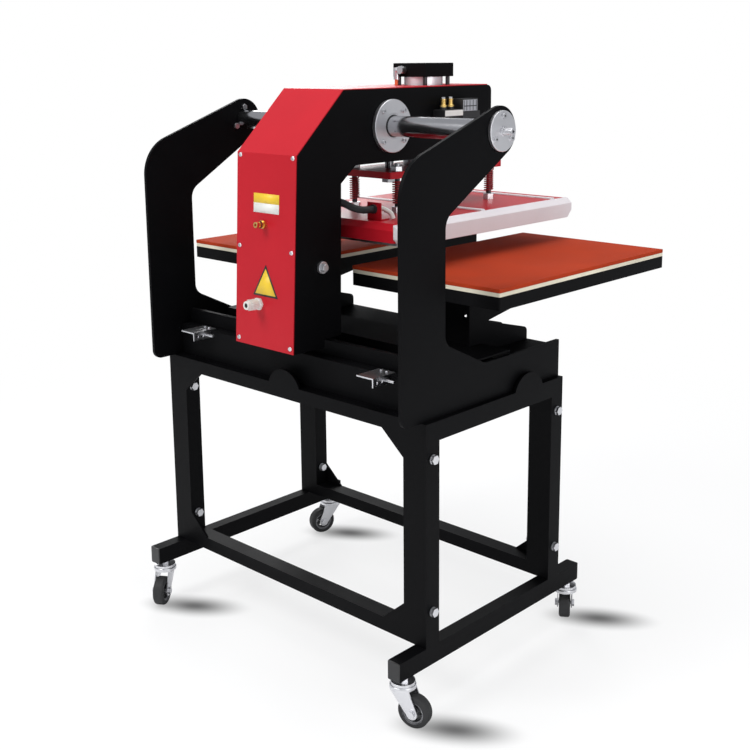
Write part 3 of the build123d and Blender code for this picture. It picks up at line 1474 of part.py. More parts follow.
# Cable bracket on the cover: an angle with a gland, and the sleeve from it down to the cover
bracket_x = head_x - 108
bracket_wide = 40.0
bracket_rear = 62.0
bracket_deep = 26.0
bracket_high = 38.0
bracket_sheet = 2.5
gland_high = 24.0
gland_long = 12.0
sleeve_r = 5.0
sleeve_start = (bracket_x, stand_y + bracket_rear - bracket_sheet - gland_long / 2, cover_top + gland_high)
sleeve_points = [sleeve_start, (bracket_x, sleeve_start[1] - 16, sleeve_start[2]),
                 (bracket_x - 22, sleeve_start[1] - 22, sleeve_start[2] - 10),
                 (bracket_x - 26, sleeve_start[1] - 24, cover_top + 2)]
with BuildPart() as cable_bracket:
    with BuildSketch(flat_plane(cover_top)):
        with Locations((bracket_x, bracket_rear - bracket_deep / 2)):
            Rectangle(bracket_wide, bracket_deep)
    extrude(amount=bracket_sheet)
    with BuildSketch(rear_plane(bracket_rear)):
        with Locations((bracket_x, cover_top + bracket_high / 2)):
            Rectangle(bracket_wide, bracket_high)
    extrude(amount=bracket_sheet)
    with BuildSketch(rear_plane(bracket_rear + gland_long / 2)):
        with Locations((bracket_x, cover_top + gland_high)):
            Circle(2 * conduit_r)
    extrude(amount=gland_long + bracket_sheet)
    with BuildLine() as sleeve_path:
        FilletPolyline(*sleeve_points, radius=[9.5, 12])
    with BuildSketch(Plane(origin=sleeve_path.line @ 0, z_dir=sleeve_path.line % 0)):
        Circle(sleeve_r)
    sweep()
cable_bracket.part.label = "cable_bracket"
export_step(cable_bracket.part, "parts/cable_bracket.step")

# Power conduit from the column down and up again to the gland, clear of the gland by the free gap
conduit_end_y = bracket_rear + gland_long / 2 + free_gap
conduit_points = [(conduit_x, stand_y + conduit_y + 6, conduit_z), (conduit_x, stand_y + 122, conduit_z),
                  (bracket_x, stand_y + 92, cover_top + gland_high),
                  (bracket_x, stand_y + conduit_end_y, cover_top + gland_high)]
with BuildPart() as power_conduit:
    with BuildLine() as conduit_path:
        FilletPolyline(*conduit_points, radius=20)
    with BuildSketch(Plane(origin=conduit_path.line @ 0, z_dir=conduit_path.line % 0)):
        Circle(conduit_r)
    sweep()
power_conduit.part.label = "power_conduit"
export_step(power_conduit.part, "parts/power_conduit.step")
print("power conduit length", round(conduit_path.wire().length, 1))
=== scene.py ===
import bpy
import bmesh
import math
from mathutils import Matrix, Vector


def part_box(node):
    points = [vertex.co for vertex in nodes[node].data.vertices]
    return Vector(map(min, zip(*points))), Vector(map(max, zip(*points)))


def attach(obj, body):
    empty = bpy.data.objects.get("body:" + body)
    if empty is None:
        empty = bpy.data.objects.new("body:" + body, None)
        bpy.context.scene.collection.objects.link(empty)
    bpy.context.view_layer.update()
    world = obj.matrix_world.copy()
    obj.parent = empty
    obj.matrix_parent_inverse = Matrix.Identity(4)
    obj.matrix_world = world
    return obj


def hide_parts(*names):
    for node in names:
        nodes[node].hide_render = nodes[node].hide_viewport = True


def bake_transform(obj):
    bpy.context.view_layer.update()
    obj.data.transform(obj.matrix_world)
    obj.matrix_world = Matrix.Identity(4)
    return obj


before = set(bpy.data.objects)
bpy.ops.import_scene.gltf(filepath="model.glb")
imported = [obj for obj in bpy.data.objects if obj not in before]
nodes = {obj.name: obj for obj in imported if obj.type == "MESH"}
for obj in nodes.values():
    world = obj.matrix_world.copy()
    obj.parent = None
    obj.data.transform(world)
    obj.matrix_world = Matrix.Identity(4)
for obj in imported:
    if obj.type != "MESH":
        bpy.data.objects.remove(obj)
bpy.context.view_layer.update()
scene = bpy.context.scene
standY = 0.099530                                  # middle of the stand, front to rear
headX = -0.008                                     # middle of the head, left to right
cylinderY = standY - 0.222                         # axis of the air cylinder
shaftPlace = Vector((0, standY - 0.0085, 1.161))   # middle of the slide shaft
endFace = 0.397 + 0.008                            # side plate and end flange, out from the middle
headFace = 0.092 + 0.010                           # head plate and bush flange, out from headX


# Shader helpers: every finish is built from noise in the object's own coordinates
def newMaterial(name):
    material = bpy.data.materials.new(name)
    material.use_nodes = True
    tree = material.node_tree
    shader = tree.nodes["Principled BSDF"]
    coords = tree.nodes.new("ShaderNodeTexCoord")
    return material, tree, shader, coords.outputs["Object"]


def addNoise(tree, coords, scale, detail, stretch=None):
    noise = tree.nodes.new("ShaderNodeTexNoise")
    noise.inputs["Scale"].default_value = scale
    noise.inputs["Detail"].default_value = detail
    if stretch:
        mapping = tree.nodes.new("ShaderNodeMapping")
        mapping.inputs["Scale"].default_value = stretch
        tree.links.new(coords, mapping.inputs["Vector"])
        coords = mapping.outputs["Vector"]
    tree.links.new(coords, noise.inputs["Vector"])
    return noise.outputs["Fac"]


def addRange(tree, source, low, high):
    spread = tree.nodes.new("ShaderNodeMapRange")
    spread.inputs["From Min"].default_value = 0.3
    spread.inputs["From Max"].default_value = 0.7
    spread.inputs["To Min"].default_value = low
    spread.inputs["To Max"].default_value = high
    tree.links.new(source, spread.inputs["Value"])
    return spread.outputs["Result"]


def addTint(tree, source, first, second):
    mix = tree.nodes.new("ShaderNodeMix")
    mix.data_type = "RGBA"
    mix.inputs["A"].default_value = (*first, 1)
    mix.inputs["B"].default_value = (*second, 1)
    tree.links.new(source, mix.inputs["Factor"])
    return mix.outputs["Result"]


surface = {"cloudScale": 9.0, "cloudDetail": 4.0, "fineDetail": 2.0, "cloudRough": 0.25,
           "fineRough": (0.85, 1.1), "reliefDepth": 0.0004, "coatRough": 0.12}


def makeFinish(name, tint, rough, metal=0.0, grain=900.0, relief=0.05, coat=0.0, stretch=None,
               vary=0.12, shine=0.5):
    material, tree, shader, coords = newMaterial(name)
    cloud = addNoise(tree, coords, surface["cloudScale"], surface["cloudDetail"])
    fine = addNoise(tree, coords, grain, surface["fineDetail"], stretch)
    darker = tuple(c * (1 - vary) for c in tint)
    lighter = tuple(min(1.0, c * (1 + vary)) for c in tint)
    colour = addTint(tree, addRange(tree, cloud, 0.0, 1.0), darker, lighter)
    tree.links.new(colour, shader.inputs["Base Color"])
    fineLow, fineHigh = surface["fineRough"]
    blend = tree.nodes.new("ShaderNodeMath")
    blend.operation = "MULTIPLY_ADD"
    blend.inputs[1].default_value = 0.5
    tree.links.new(addRange(tree, cloud, 0.0, rough * surface["cloudRough"]), blend.inputs[0])
    tree.links.new(addRange(tree, fine, rough * fineLow, rough * fineHigh), blend.inputs[2])
    tree.links.new(blend.outputs[0], shader.inputs["Roughness"])
    bump = tree.nodes.new("ShaderNodeBump")
    bump.inputs["Strength"].default_value = relief
    bump.inputs["Distance"].default_value = surface["reliefDepth"]
    tree.links.new(fine, bump.inputs["Height"])
    tree.links.new(bump.outputs["Normal"], shader.inputs["Normal"])
    shader.inputs["Metallic"].default_value = metal
    shader.inputs["Specular IOR Level"].default_value = shine
    shader.inputs["Coat Weight"].default_value = coat
    shader.inputs["Coat Roughness"].default_value = surface["coatRough"]
    return material


finishLooks = {
    "blackCoat": dict(tint=(0.0027, 0.0027, 0.0032), rough=0.46, grain=1300, relief=0.16, shine=0.06),
    "blackBase": dict(tint=(0.003, 0.003, 0.0035), rough=0.54, grain=1100, relief=0.2, shine=0.06),
    "redCoat": dict(tint=(0.49, 0.009, 0.019), rough=0.36, grain=700, relief=0.06, coat=0.04, vary=0.04,
                    shine=0.2),
    "redSpring": dict(tint=(0.3, 0.008, 0.014), rough=0.4, grain=900, relief=0.12, coat=0.2),
    "whiteCoat": dict(tint=(0.74, 0.7, 0.72), rough=0.4, grain=800, relief=0.08, vary=0.03),
    "zinc": dict(tint=(0.68, 0.68, 0.7), rough=0.3, metal=1.0, grain=500, relief=0.16),
    "turned": dict(tint=(0.72, 0.72, 0.74), rough=0.38, metal=1.0, grain=1500, relief=0.12, vary=0.06),
    "chrome": dict(tint=(0.5, 0.5, 0.52), rough=0.17, metal=1.0, grain=300, relief=0.02, vary=0.04,
                   stretch=(1.0, 9.0, 9.0)),
    "rodChrome": dict(tint=(0.2, 0.2, 0.21), rough=0.24, metal=1.0, grain=300, relief=0.02, vary=0.04),
    "aluminium": dict(tint=(0.82, 0.82, 0.85), rough=0.44, metal=1.0, grain=600, relief=0.08, vary=0.05,
                      stretch=(1.0, 1.0, 0.15)),
    "heaterMetal": dict(tint=(0.6, 0.6, 0.63), rough=0.3, metal=1.0, grain=500, relief=0.1),
    "brass": dict(tint=(0.76, 0.53, 0.18), rough=0.28, metal=1.0, grain=900, relief=0.1),
    "silicone": dict(tint=(0.38, 0.04, 0.012), rough=0.72, grain=1600, relief=0.3, vary=0.08, shine=0.06),
    "board": dict(tint=(0.72, 0.66, 0.52), rough=0.75, grain=400, relief=0.3, stretch=(1.0, 1.0, 14.0)),
    "tyre": dict(tint=(0.018, 0.018, 0.019), rough=0.62, grain=1200, relief=0.3),
    "hub": dict(tint=(0.05, 0.05, 0.053), rough=0.42, grain=900, relief=0.15),
    "hubRim": dict(tint=(0.2, 0.2, 0.21), rough=0.4, grain=900, relief=0.12),
    "hubBoss": dict(tint=(0.6, 0.6, 0.62), rough=0.32, metal=1.0, grain=900, relief=0.1),
    "blackPlastic": dict(tint=(0.014, 0.014, 0.015), rough=0.42, grain=1500, relief=0.2),
    "whitePlastic": dict(tint=(0.72, 0.71, 0.68), rough=0.38, grain=900, relief=0.06, vary=0.04),
    "greenButton": dict(tint=(0.03, 0.36, 0.1), rough=0.22, grain=500, relief=0.03, coat=0.5, vary=0.05),
    "redButton": dict(tint=(0.6, 0.012, 0.012), rough=0.24, grain=500, relief=0.03, coat=0.5, vary=0.05),
    "orangeHose": dict(tint=(0.82, 0.13, 0.02), rough=0.3, grain=600, relief=0.04, coat=0.3, vary=0.05),
    "labelYellow": dict(tint=(0.86, 0.58, 0.03), rough=0.45, grain=900, relief=0.03, vary=0.03),
    "labelWhite": dict(tint=(0.8, 0.8, 0.76), rough=0.45, grain=900, relief=0.03, vary=0.03),
    "labelBlack": dict(tint=(0.012, 0.012, 0.012), rough=0.5, grain=900, relief=0.04),
    "glass": dict(tint=(0.01, 0.016, 0.018), rough=0.08, grain=200, relief=0.005, coat=1.0),
    "loom": dict(tint=(0.01, 0.01, 0.011), rough=0.5, grain=800, relief=0.25),
    "sleeve": dict(tint=(0.78, 0.78, 0.74), rough=0.6, grain=1400, relief=0.4, vary=0.05),
    "paleGreen": dict(tint=(0.36, 0.5, 0.3), rough=0.26, grain=500, relief=0.03, coat=0.5, vary=0.05),
    "darkSteel": dict(tint=(0.05, 0.05, 0.055), rough=0.34, metal=0.6, grain=900, relief=0.1),
}
finishes = {name: makeFinish(name, **look) for name, look in finishLooks.items()}
print("finishes made", len(finishes))

nodeFinish = {
    "side_frame_left": "blackCoat", "side_frame_right": "blackCoat", "cross_frame_rear": "blackCoat",
    "cross_frame_front": "blackCoat", "frame_bolts": "zinc", "tube_end_plugs": "blackPlastic",
    "caster_mounts": "zinc", "base_box": "blackBase", "side_plate_left": "blackCoat",
    "side_plate_right": "blackCoat", "slide_shaft": "chrome", "shaft_end_flanges": "turned",
    "shaft_end_screws": "zinc", "guide_bar": "blackBase", "stop_brackets": "zinc", "base_screws": "zinc",
    "platen_pedestals": "blackBase", "platen_trays": "blackBase", "base_boards": "board",
    "silicone_pads": "silicone", "head_side_left": "blackCoat", "head_side_right": "blackCoat",
    "head_cover": "redCoat", "head_flanges": "turned", "bushes": "turned", "head_screws": "zinc",
    "cylinder_mount_plate": "blackBase", "column_panel": "blackCoat", "guide_shoe": "whitePlastic",
    "control_panel": "blackCoat", "display_module": "blackPlastic", "button_bezels": "turned",
    "cylinder_barrel": "aluminium", "cylinder_caps": "blackBase", "air_fitting": "zinc",
    "air_hose": "orangeHose", "valve_block": "blackPlastic", "brass_fittings": "brass",
    "cable_gland": "whitePlastic", "piston_rod": "rodChrome", "press_plate": "redCoat",
    "guide_rods": "rodChrome", "platen_springs": "redSpring", "spring_posts": "zinc",
    "platen_cover": "redCoat", "platen_guards": "whiteCoat", "heating_plate": "heaterMetal",
    "cable_bracket": "redCoat", "reset_button": "greenButton", "start_button": "greenButton",
    "emergency_stop": "redButton", "power_conduit": "loom",
}
edges = {"usual": 0.0004, "wheel": 0.0005, "angle": 32, "smallAngle": 35, "flat": 0.6, "weld": 0.00001}
edgeWidths = {"silicone_pads": 0.0012, "side_frame_left": 0.002, "side_frame_right": 0.002,
              "cross_frame_rear": 0.002, "cross_frame_front": 0.002, "platen_guards": 0.0012,
              "platen_cover": 0.0012, "head_cover": 0.0006, "slide_shaft": 0.0008}
plainEdges = {"platen_springs", "air_hose", "power_conduit"}


def setFinishes(data, names):
    data.materials.clear()
    for name in names:
        data.materials.append(finishes[name])


def smoothAll(data):
    data.polygons.foreach_set("use_smooth", [True] * len(data.polygons))


def addBevel(thing, width, angle):
    bevel = thing.modifiers.new("bevel", "BEVEL")
    bevel.width = width
    bevel.segments = 2
    bevel.limit_method = "ANGLE"
    bevel.angle_limit = math.radians(angle)
    bevel.harden_normals = True


def softenEdges(thing, width):
    if thing.data.has_custom_normals:
        thing.data.attributes.remove(thing.data.attributes["custom_normal"])
    smoothAll(thing.data)
    weld = thing.modifiers.new("weld", "WELD")
    weld.merge_threshold = edges["weld"]
    flatten = thing.modifiers.new("flatten", "DECIMATE")
    flatten.decimate_type = "DISSOLVE"
    flatten.angle_limit = math.radians(edges["flat"])
    addBevel(thing, width, edges["angle"])


# Casters: each face of a wheel takes its finish from its distance to the axle
wheels = {
    "turn": {"rear_left": 195.0, "rear_right": 123.0, "front_left": 304.0, "front_right": 70.0},
    "finishes": ("tyre", "hub", "hubBoss", "hubRim"),
    "beyond": (("tyre", 0.0237), ("hubRim", 0.0195), ("hub", 0.0095)),
}


def paintWheel(corner, node):
    centre = sum(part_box("caster_wheel_" + corner), Vector()) / 2
    angle = math.radians(wheels["turn"][corner])
    axle = Vector((math.sin(angle), -math.cos(angle), 0))
    setFinishes(node.data, wheels["finishes"])
    for face in node.data.polygons:
        away = face.center - centre
        radius = (away - axle * away.dot(axle)).length
        finish = next((name for name, limit in wheels["beyond"] if radius > limit), "hubBoss")
        face.material_index = wheels["finishes"].index(finish)


for name, node in nodes.items():
    if name.startswith("caster_fork"):
        setFinishes(node.data, ["zinc"])
        softenEdges(node, edges["usual"])
    elif name.startswith("caster_wheel"):
        paintWheel(name.replace("caster_wheel_", ""), node)
        softenEdges(node, edges["wheel"])
    else:
        setFinishes(node.data, [nodeFinish[name]])
        if name in plainEdges:
            smoothAll(node.data)
        else:
            softenEdges(node, edgeWidths.get(name, edges["usual"]))
print("nodes dressed", len(nodes))


# Nodes with more than one surface: each face takes its finish from where it lies
def paintFaces(name, finishNames, choose):
    data = nodes[name].data
    setFinishes(data, finishNames)
    for face in data.polygons:
        face.material_index = choose(face.center)


barrel = {"tieRodsBeyond": 0.0472}
posts = {"shankLow": 0.9798, "shankHigh": 1.0578}
button = {"centreShare": 0.75}
bracket = {"x": headX - 0.108, "rear": standY + 0.062, "glandZ": 0.989, "glandRadius": 0.0105,
           "glandFront": 0.0115, "sheetMiddle": 0.00125, "sheetHalf": 0.0016, "sleeveRear": 0.006,
           "sleeveFront": standY + 0.028, "sleeveLow": 0.9679, "sleeveReach": 0.034}


def paintBarrel(spot):
    return 1 if math.hypot(spot.x - headX, spot.y - cylinderY) > barrel["tieRodsBeyond"] else 0


def paintPost(spot):
    return 1 if posts["shankLow"] < spot.z < posts["shankHigh"] else 0


def paintButton(spot):
    low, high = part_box("reset_button")
    centre = (low + high) / 2
    limit = (high.z - low.z) / 2 * button["centreShare"]
    return 1 if math.hypot(spot.y - centre.y, spot.z - centre.z) < limit else 0


def paintBracket(spot):
    radius = math.hypot(spot.x - bracket["x"], spot.z - bracket["glandZ"])
    behind = spot.y - bracket["rear"]
    onSheet = abs(behind + bracket["sheetMiddle"]) <= bracket["sheetHalf"]
    if radius < bracket["glandRadius"] and behind > -bracket["glandFront"] and not onSheet:
        return 1
    onSleeve = (behind < -bracket["sleeveRear"] and spot.y > bracket["sleeveFront"]
                and spot.z > bracket["sleeveLow"] and spot.x > bracket["x"] - bracket["sleeveReach"])
    return 2 if onSleeve else 0


paintFaces("cylinder_barrel", ("aluminium", "darkSteel"), paintBarrel)
paintFaces("spring_posts", ("zinc", "darkSteel"), paintPost)
paintFaces("reset_button", ("turned", "paleGreen"), paintButton)
paintFaces("cable_bracket", ("redCoat", "blackPlastic", "sleeve"), paintBracket)
print("faces painted")


# Small pieces: boxes, discs, rings and flat patches gathered into one mesh
class Gather:
    def __init__(self):
        self.mesh = bmesh.new()

    def addBox(self, low, high):
        centre = (Vector(low) + Vector(high)) / 2
        size = Vector(high) - Vector(low)
        place = Matrix.Translation(centre) @ Matrix.Diagonal((*size, 1))
        bmesh.ops.create_cube(self.mesh, size=1.0, matrix=place)

    def addDisc(self, centre, axis, radius, depth, sides=32):
        turned = Vector(axis).to_track_quat("Z", "Y").to_matrix().to_4x4()
        bmesh.ops.create_cone(self.mesh, cap_ends=True, segments=sides, radius1=radius, radius2=radius,
                              depth=depth, matrix=Matrix.Translation(Vector(centre)) @ turned)

    # A flat ring about an axis along X
    def addRing(self, centre, inner, outer, depth, sides=64):
        loops = []
        half = depth / 2
        for shift, radius in ((-half, inner), (-half, outer), (half, outer), (half, inner)):
            loop = []
            for k in range(sides):
                angle = math.tau * k / sides
                away = Vector((shift, radius * math.cos(angle), radius * math.sin(angle)))
                loop.append(self.mesh.verts.new(centre + away))
            loops.append(loop)
        for near, far in zip(loops, loops[1:] + loops[:1]):
            for k in range(sides):
                self.mesh.faces.new((near[k], near[(k + 1) % sides], far[(k + 1) % sides], far[k]))

    def addPolygon(self, points, normal, thick):
        base = [self.mesh.verts.new(Vector(p)) for p in points]
        face = self.mesh.faces.new(base)
        made = bmesh.ops.extrude_face_region(self.mesh, geom=[face])
        moved = [v for v in made["geom"] if isinstance(v, bmesh.types.BMVert)]
        bmesh.ops.translate(self.mesh, verts=moved, vec=Vector(normal) * thick)

    def finish(self, name, finish, body, bevel=0.0003, smooth=True):
        bmesh.ops.recalc_face_normals(self.mesh, faces=self.mesh.faces)
        data = bpy.data.meshes.new(name)
        self.mesh.to_mesh(data)
        self.mesh.free()
        thing = bpy.data.objects.new(name, data)
        scene.collection.objects.link(thing)
        data.materials.append(finishes[finish])
        if smooth:
            smoothAll(data)
        if bevel:
            addBevel(thing, bevel, edges["smallAngle"])
        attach(thing, body)


# Rear face of the column, which leans forward by its run over its rise
column = {"run": 0.021, "rise": 0.406, "footY": standY + 0.287, "footZ": 0.708, "sheet": 0.002}
lean = math.atan2(column["run"], column["rise"])
faceOut = Vector((0, math.cos(lean), math.sin(lean)))
faceUp = Vector((0, -math.sin(lean), math.cos(lean)))
faceFoot = Vector((headX, column["footY"], column["footZ"])) + faceOut * column["sheet"]


def onFace(across, up, out=0.0):
    return faceFoot + Vector((-across, 0, 0)) + faceUp * up + faceOut * out


def atHeight(across, z):
    return onFace(across, (z - column["footZ"]) / math.cos(lean))


def addFacePatch(name, finish, corners, out):
    patch = Gather()
    patch.addPolygon([onFace(a, u, out) for a, u in corners], faceOut, label["thick"])
    patch.finish(name, finish, "head", bevel=0)


# Blank labels: a two-tone plate, and a plain triangle in a dark border
label = {"left": -0.037, "right": 0.042, "low": 0.285, "middle": 0.305, "high": 0.325, "out": 0.0001,
         "thick": 0.0003}
warning = {"across": 0.003, "tall": 0.86, "border": 0.078, "borderUp": 0.110, "field": 0.064,
           "fieldUp": 0.114, "fieldOut": 0.0004}


def stripe(low, high):
    left, right = label["left"], label["right"]
    return [(left, low), (right, low), (right, high), (left, high)]


def triangle(size, up):
    across, half = warning["across"], size / 2
    return [(across - half, up), (across + half, up), (across, up + size * warning["tall"])]


addFacePatch("labelUpper", "labelYellow", stripe(label["middle"], label["high"]), label["out"])
addFacePatch("labelLower", "labelWhite", stripe(label["low"], label["middle"]), label["out"])
addFacePatch("triangleBorder", "labelBlack", triangle(warning["border"], warning["borderUp"]), label["out"])
addFacePatch("triangleField", "labelYellow", triangle(warning["field"], warning["fieldUp"]),
             warning["fieldOut"])
print("labels placed")

# Red and dark collars on the air inlet
inlet = {"across": -0.004, "z": 0.969, "collar": (0.0195, 0.0072, 0.003), "ring": (0.012, 0.0078, 0.0022)}
inletPlace = atHeight(inlet["across"], inlet["z"])
for name, finish, part in (("inletCollar", "redCoat", "collar"), ("inletRing", "loom", "ring")):
    out, radius, depth = inlet[part]
    collar = Gather()
    collar.addDisc(inletPlace + faceOut * out, faceOut, radius, depth)
    collar.finish(name, finish, "head")

# Ribs of the gland's domed nut, and its hole drawn as a flat dark disc of painted shade
gland = {"across": -0.017, "z": 0.800, "ribs": 14, "ribOut": 0.022, "ribReach": 0.0112,
         "ribRadius": 0.0008, "ribLong": 0.014, "holeOut": 0.0345, "holeRadius": 0.0048, "holeDepth": 0.001}
glandPlace = atHeight(gland["across"], gland["z"])
side = faceOut.cross(Vector((1, 0, 0))).normalized() * gland["ribReach"]
ribs = Gather()
for count in range(gland["ribs"]):
    turn = Matrix.Rotation(math.tau * count / gland["ribs"], 3, faceOut)
    ribs.addDisc(glandPlace + faceOut * gland["ribOut"] + turn @ side, faceOut, gland["ribRadius"],
                 gland["ribLong"], sides=8)
ribs.finish("glandRibs", "whitePlastic", "head", bevel=0)
holeShade = Gather()
holeShade.addDisc(glandPlace + faceOut * gland["holeOut"], faceOut, gland["holeRadius"], gland["holeDepth"])
holeShade.finish("glandHole", "loom", "head", bevel=0)
print("fittings dressed")

# Valve group: white manifold face, window with its lines
valve = {"x": -0.1342, "front": standY - 0.213, "rear": standY - 0.151, "low": 1.1762, "high": 1.1888,
         "thick": 0.001}
manifold = Gather()
manifold.addBox((valve["x"] - valve["thick"], valve["front"], valve["low"]),
                (valve["x"], valve["rear"], valve["high"]))
manifold.finish("manifoldFace", "whitePlastic", "head")
window = {"x": -0.1343, "front": standY - 0.264, "rear": standY - 0.214, "low": 1.1855, "high": 1.2105,
          "thick": 0.001, "bars": (0.2605, 0.249, 0.2375, 0.226, 0.2165), "barHalf": 0.0007,
          "barInset": 0.001, "bandLow": 1.1955, "bandHigh": 1.1975, "bandInset": 0.002,
          "lineNear": 0.0004, "lineFar": 0.0014}
pane = Gather()
pane.addBox((window["x"] - window["thick"], window["front"], window["low"]),
            (window["x"], window["rear"], window["high"]))
pane.finish("coilWindow", "heaterMetal", "head")
lineNear, lineFar = window["x"] - window["lineNear"], window["x"] - window["lineFar"]
lines = Gather()
for bar in window["bars"]:
    lines.addBox((lineFar, standY - bar - window["barHalf"], window["low"] + window["barInset"]),
                 (lineNear, standY - bar + window["barHalf"], window["high"] - window["barInset"]))
lines.addBox((lineFar, window["front"] + window["bandInset"], window["bandLow"]),
             (lineNear, window["rear"] - window["bandInset"], window["bandHigh"]))
lines.finish("coilLines", "blackPlastic", "head", bevel=0.0001)

# Silencers: discs on each axis, given as height, radius, depth and sides
silencers = {"x": -0.117, "along": (-0.165, -0.190), "grooveLow": 1.2015, "grooveHigh": 1.2125}
silencerDiscs = {
    "silencerRings": ("brass", 0, [(z, 0.0059, 0.001, 24) for z in (1.2025, 1.2055, 1.2085, 1.2115)]),
    "silencerTips": ("zinc", 0.0002, [(1.2155, 0.0044, 0.005, 6)]),
    "silencerHexes": ("brass", 0.0002, [(1.1985, 0.0082, 0.003, 6), (1.2128, 0.0066, 0.002, 24)]),
}
for name, (finish, bevel, discs) in silencerDiscs.items():
    stack = Gather()
    for along in silencers["along"]:
        for level, radius, depth, sides in discs:
            stack.addDisc((silencers["x"], standY + along, level), (0, 0, 1), radius, depth, sides)
    stack.finish(name, finish, "head", bevel=bevel)

# Painted shade for the sockets of the screws in the end flanges: flat black hexagons stand in for the
# shaded hollows
endScrews = {"count": 3, "reach": 0.03, "head": 0.0041, "radius": 0.0022, "depth": 0.0003}
socketShade = Gather()
for sign in (-1, 1):
    for count in range(endScrews["count"]):
        turn = math.radians(90) + math.tau * count / endScrews["count"]
        away = Vector((0, math.cos(turn), math.sin(turn))) * endScrews["reach"]
        outward = Vector((sign * (endFace + endScrews["head"]), 0, 0))
        socketShade.addDisc(shaftPlace + outward + away, (1, 0, 0), endScrews["radius"], endScrews["depth"],
                        sides=6)
socketShade.finish("endSockets", "labelBlack", "stand", bevel=0)

# Dark joint between the slide shaft and each bush flange
joint = {"inner": 0.0228, "outer": 0.0245, "depth": 0.0006, "out": 0.0004}
joints = Gather()
for sign in (-1, 1):
    outward = Vector((headX + sign * (headFace + joint["out"]), 0, 0))
    joints.addRing(shaftPlace + outward, joint["inner"], joint["outer"], joint["depth"])
joints.finish("shaftJoints", "labelBlack", "head", bevel=0, smooth=False)

# Display glass and keys on the control box
panel = {"front": standY - 0.379, "glassHalf": 0.036, "glassLow": 1.1665, "glassHigh": 1.1975,
         "glassNear": 0.0018, "glassFar": 0.0026,
         "keys": 4, "keyStart": -0.027, "keyPitch": 0.018, "keyZ": 1.1505, "keyRadius": 0.0045,
         "keyDepth": 0.0012}
glass = Gather()
glass.addBox((headX - panel["glassHalf"], panel["front"] - panel["glassFar"], panel["glassLow"]),
             (headX + panel["glassHalf"], panel["front"] - panel["glassNear"], panel["glassHigh"]))
glass.finish("displayGlass", "glass", "head", bevel=0.0002)
keys = Gather()
for count in range(panel["keys"]):
    keyX = headX + panel["keyStart"] + panel["keyPitch"] * count
    keys.addDisc((keyX, panel["front"] - panel["keyDepth"] / 2, panel["keyZ"]), (0, 1, 0),
                 panel["keyRadius"], panel["keyDepth"])
keys.finish("displayKeys", "labelWhite", "head", bevel=0.0002)
print("panel dressed")


# Thread rings repeated along studs and posts with geometry nodes
thread = {"ringSides": 40, "wireSides": 6, "wireShare": 0.32}


def ringTree():
    tree = bpy.data.node_groups.new("threadRings", "GeometryNodeTree")
    tree.interface.new_socket("Geometry", in_out="INPUT", socket_type="NodeSocketGeometry")
    radius = tree.interface.new_socket("Radius", in_out="INPUT", socket_type="NodeSocketFloat")
    thick = tree.interface.new_socket("Thick", in_out="INPUT", socket_type="NodeSocketFloat")
    shown = tree.interface.new_socket("Finish", in_out="INPUT", socket_type="NodeSocketMaterial")
    tree.interface.new_socket("Geometry", in_out="OUTPUT", socket_type="NodeSocketGeometry")
    start = tree.nodes.new("NodeGroupInput")
    end = tree.nodes.new("NodeGroupOutput")
    ring = tree.nodes.new("GeometryNodeCurvePrimitiveCircle")
    profile = tree.nodes.new("GeometryNodeCurvePrimitiveCircle")
    ring.inputs["Resolution"].default_value = thread["ringSides"]
    profile.inputs["Resolution"].default_value = thread["wireSides"]
    tube = tree.nodes.new("GeometryNodeCurveToMesh")
    place = tree.nodes.new("GeometryNodeInstanceOnPoints")
    real = tree.nodes.new("GeometryNodeRealizeInstances")
    paint = tree.nodes.new("GeometryNodeSetMaterial")
    smooth = tree.nodes.new("GeometryNodeSetShadeSmooth")
    turn = tree.nodes.new("FunctionNodeAlignRotationToVector")
    normal = tree.nodes.new("GeometryNodeInputNamedAttribute")
    normal.data_type = "FLOAT_VECTOR"
    normal.inputs["Name"].default_value = "along"
    link = tree.links.new
    link(start.outputs["Radius"], ring.inputs["Radius"])
    link(start.outputs["Thick"], profile.inputs["Radius"])
    link(ring.outputs["Curve"], tube.inputs["Curve"])
    link(profile.outputs["Curve"], tube.inputs["Profile Curve"])
    link(start.outputs["Geometry"], place.inputs["Points"])
    link(tube.outputs["Mesh"], place.inputs["Instance"])
    link(normal.outputs["Attribute"], turn.inputs["Vector"])
    link(turn.outputs["Rotation"], place.inputs["Rotation"])
    link(place.outputs["Instances"], real.inputs["Geometry"])
    link(real.outputs["Geometry"], paint.inputs["Geometry"])
    link(start.outputs["Finish"], paint.inputs["Material"])
    link(paint.outputs["Geometry"], smooth.inputs["Geometry"])
    link(smooth.outputs["Geometry"], end.inputs["Geometry"])
    return tree, radius.identifier, thick.identifier, shown.identifier


rings, radiusKey, thickKey, finishKey = ringTree()


def addThread(name, spans, axis, radius, pitch, finish, body):
    points = []
    for low, high in spans:
        low, high = Vector(low), Vector(high)
        count = int((high - low).length / pitch)
        points += [low + (high - low) * (step + 0.5) / count for step in range(count)]
    data = bpy.data.meshes.new(name + "Points")
    data.from_pydata([tuple(p) for p in points], [], [])
    along = data.attributes.new("along", "FLOAT_VECTOR", "POINT")
    along.data.foreach_set("vector", [c for p in points for c in axis])
    seed = bpy.data.objects.new(name + "Points", data)
    scene.collection.objects.link(seed)
    modifier = seed.modifiers.new("rings", "NODES")
    modifier.node_group = rings
    modifier[radiusKey] = radius
    modifier[thickKey] = pitch * thread["wireShare"]
    modifier[finishKey] = finishes[finish]
    depsgraph = bpy.context.evaluated_depsgraph_get()
    mesh = bpy.data.meshes.new_from_object(seed.evaluated_get(depsgraph))
    mesh.name = name
    thing = bpy.data.objects.new(name, mesh)
    scene.collection.objects.link(thing)
    bpy.data.objects.remove(seed)
    if not mesh.materials:
        mesh.materials.append(finishes[finish])
    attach(thing, body)


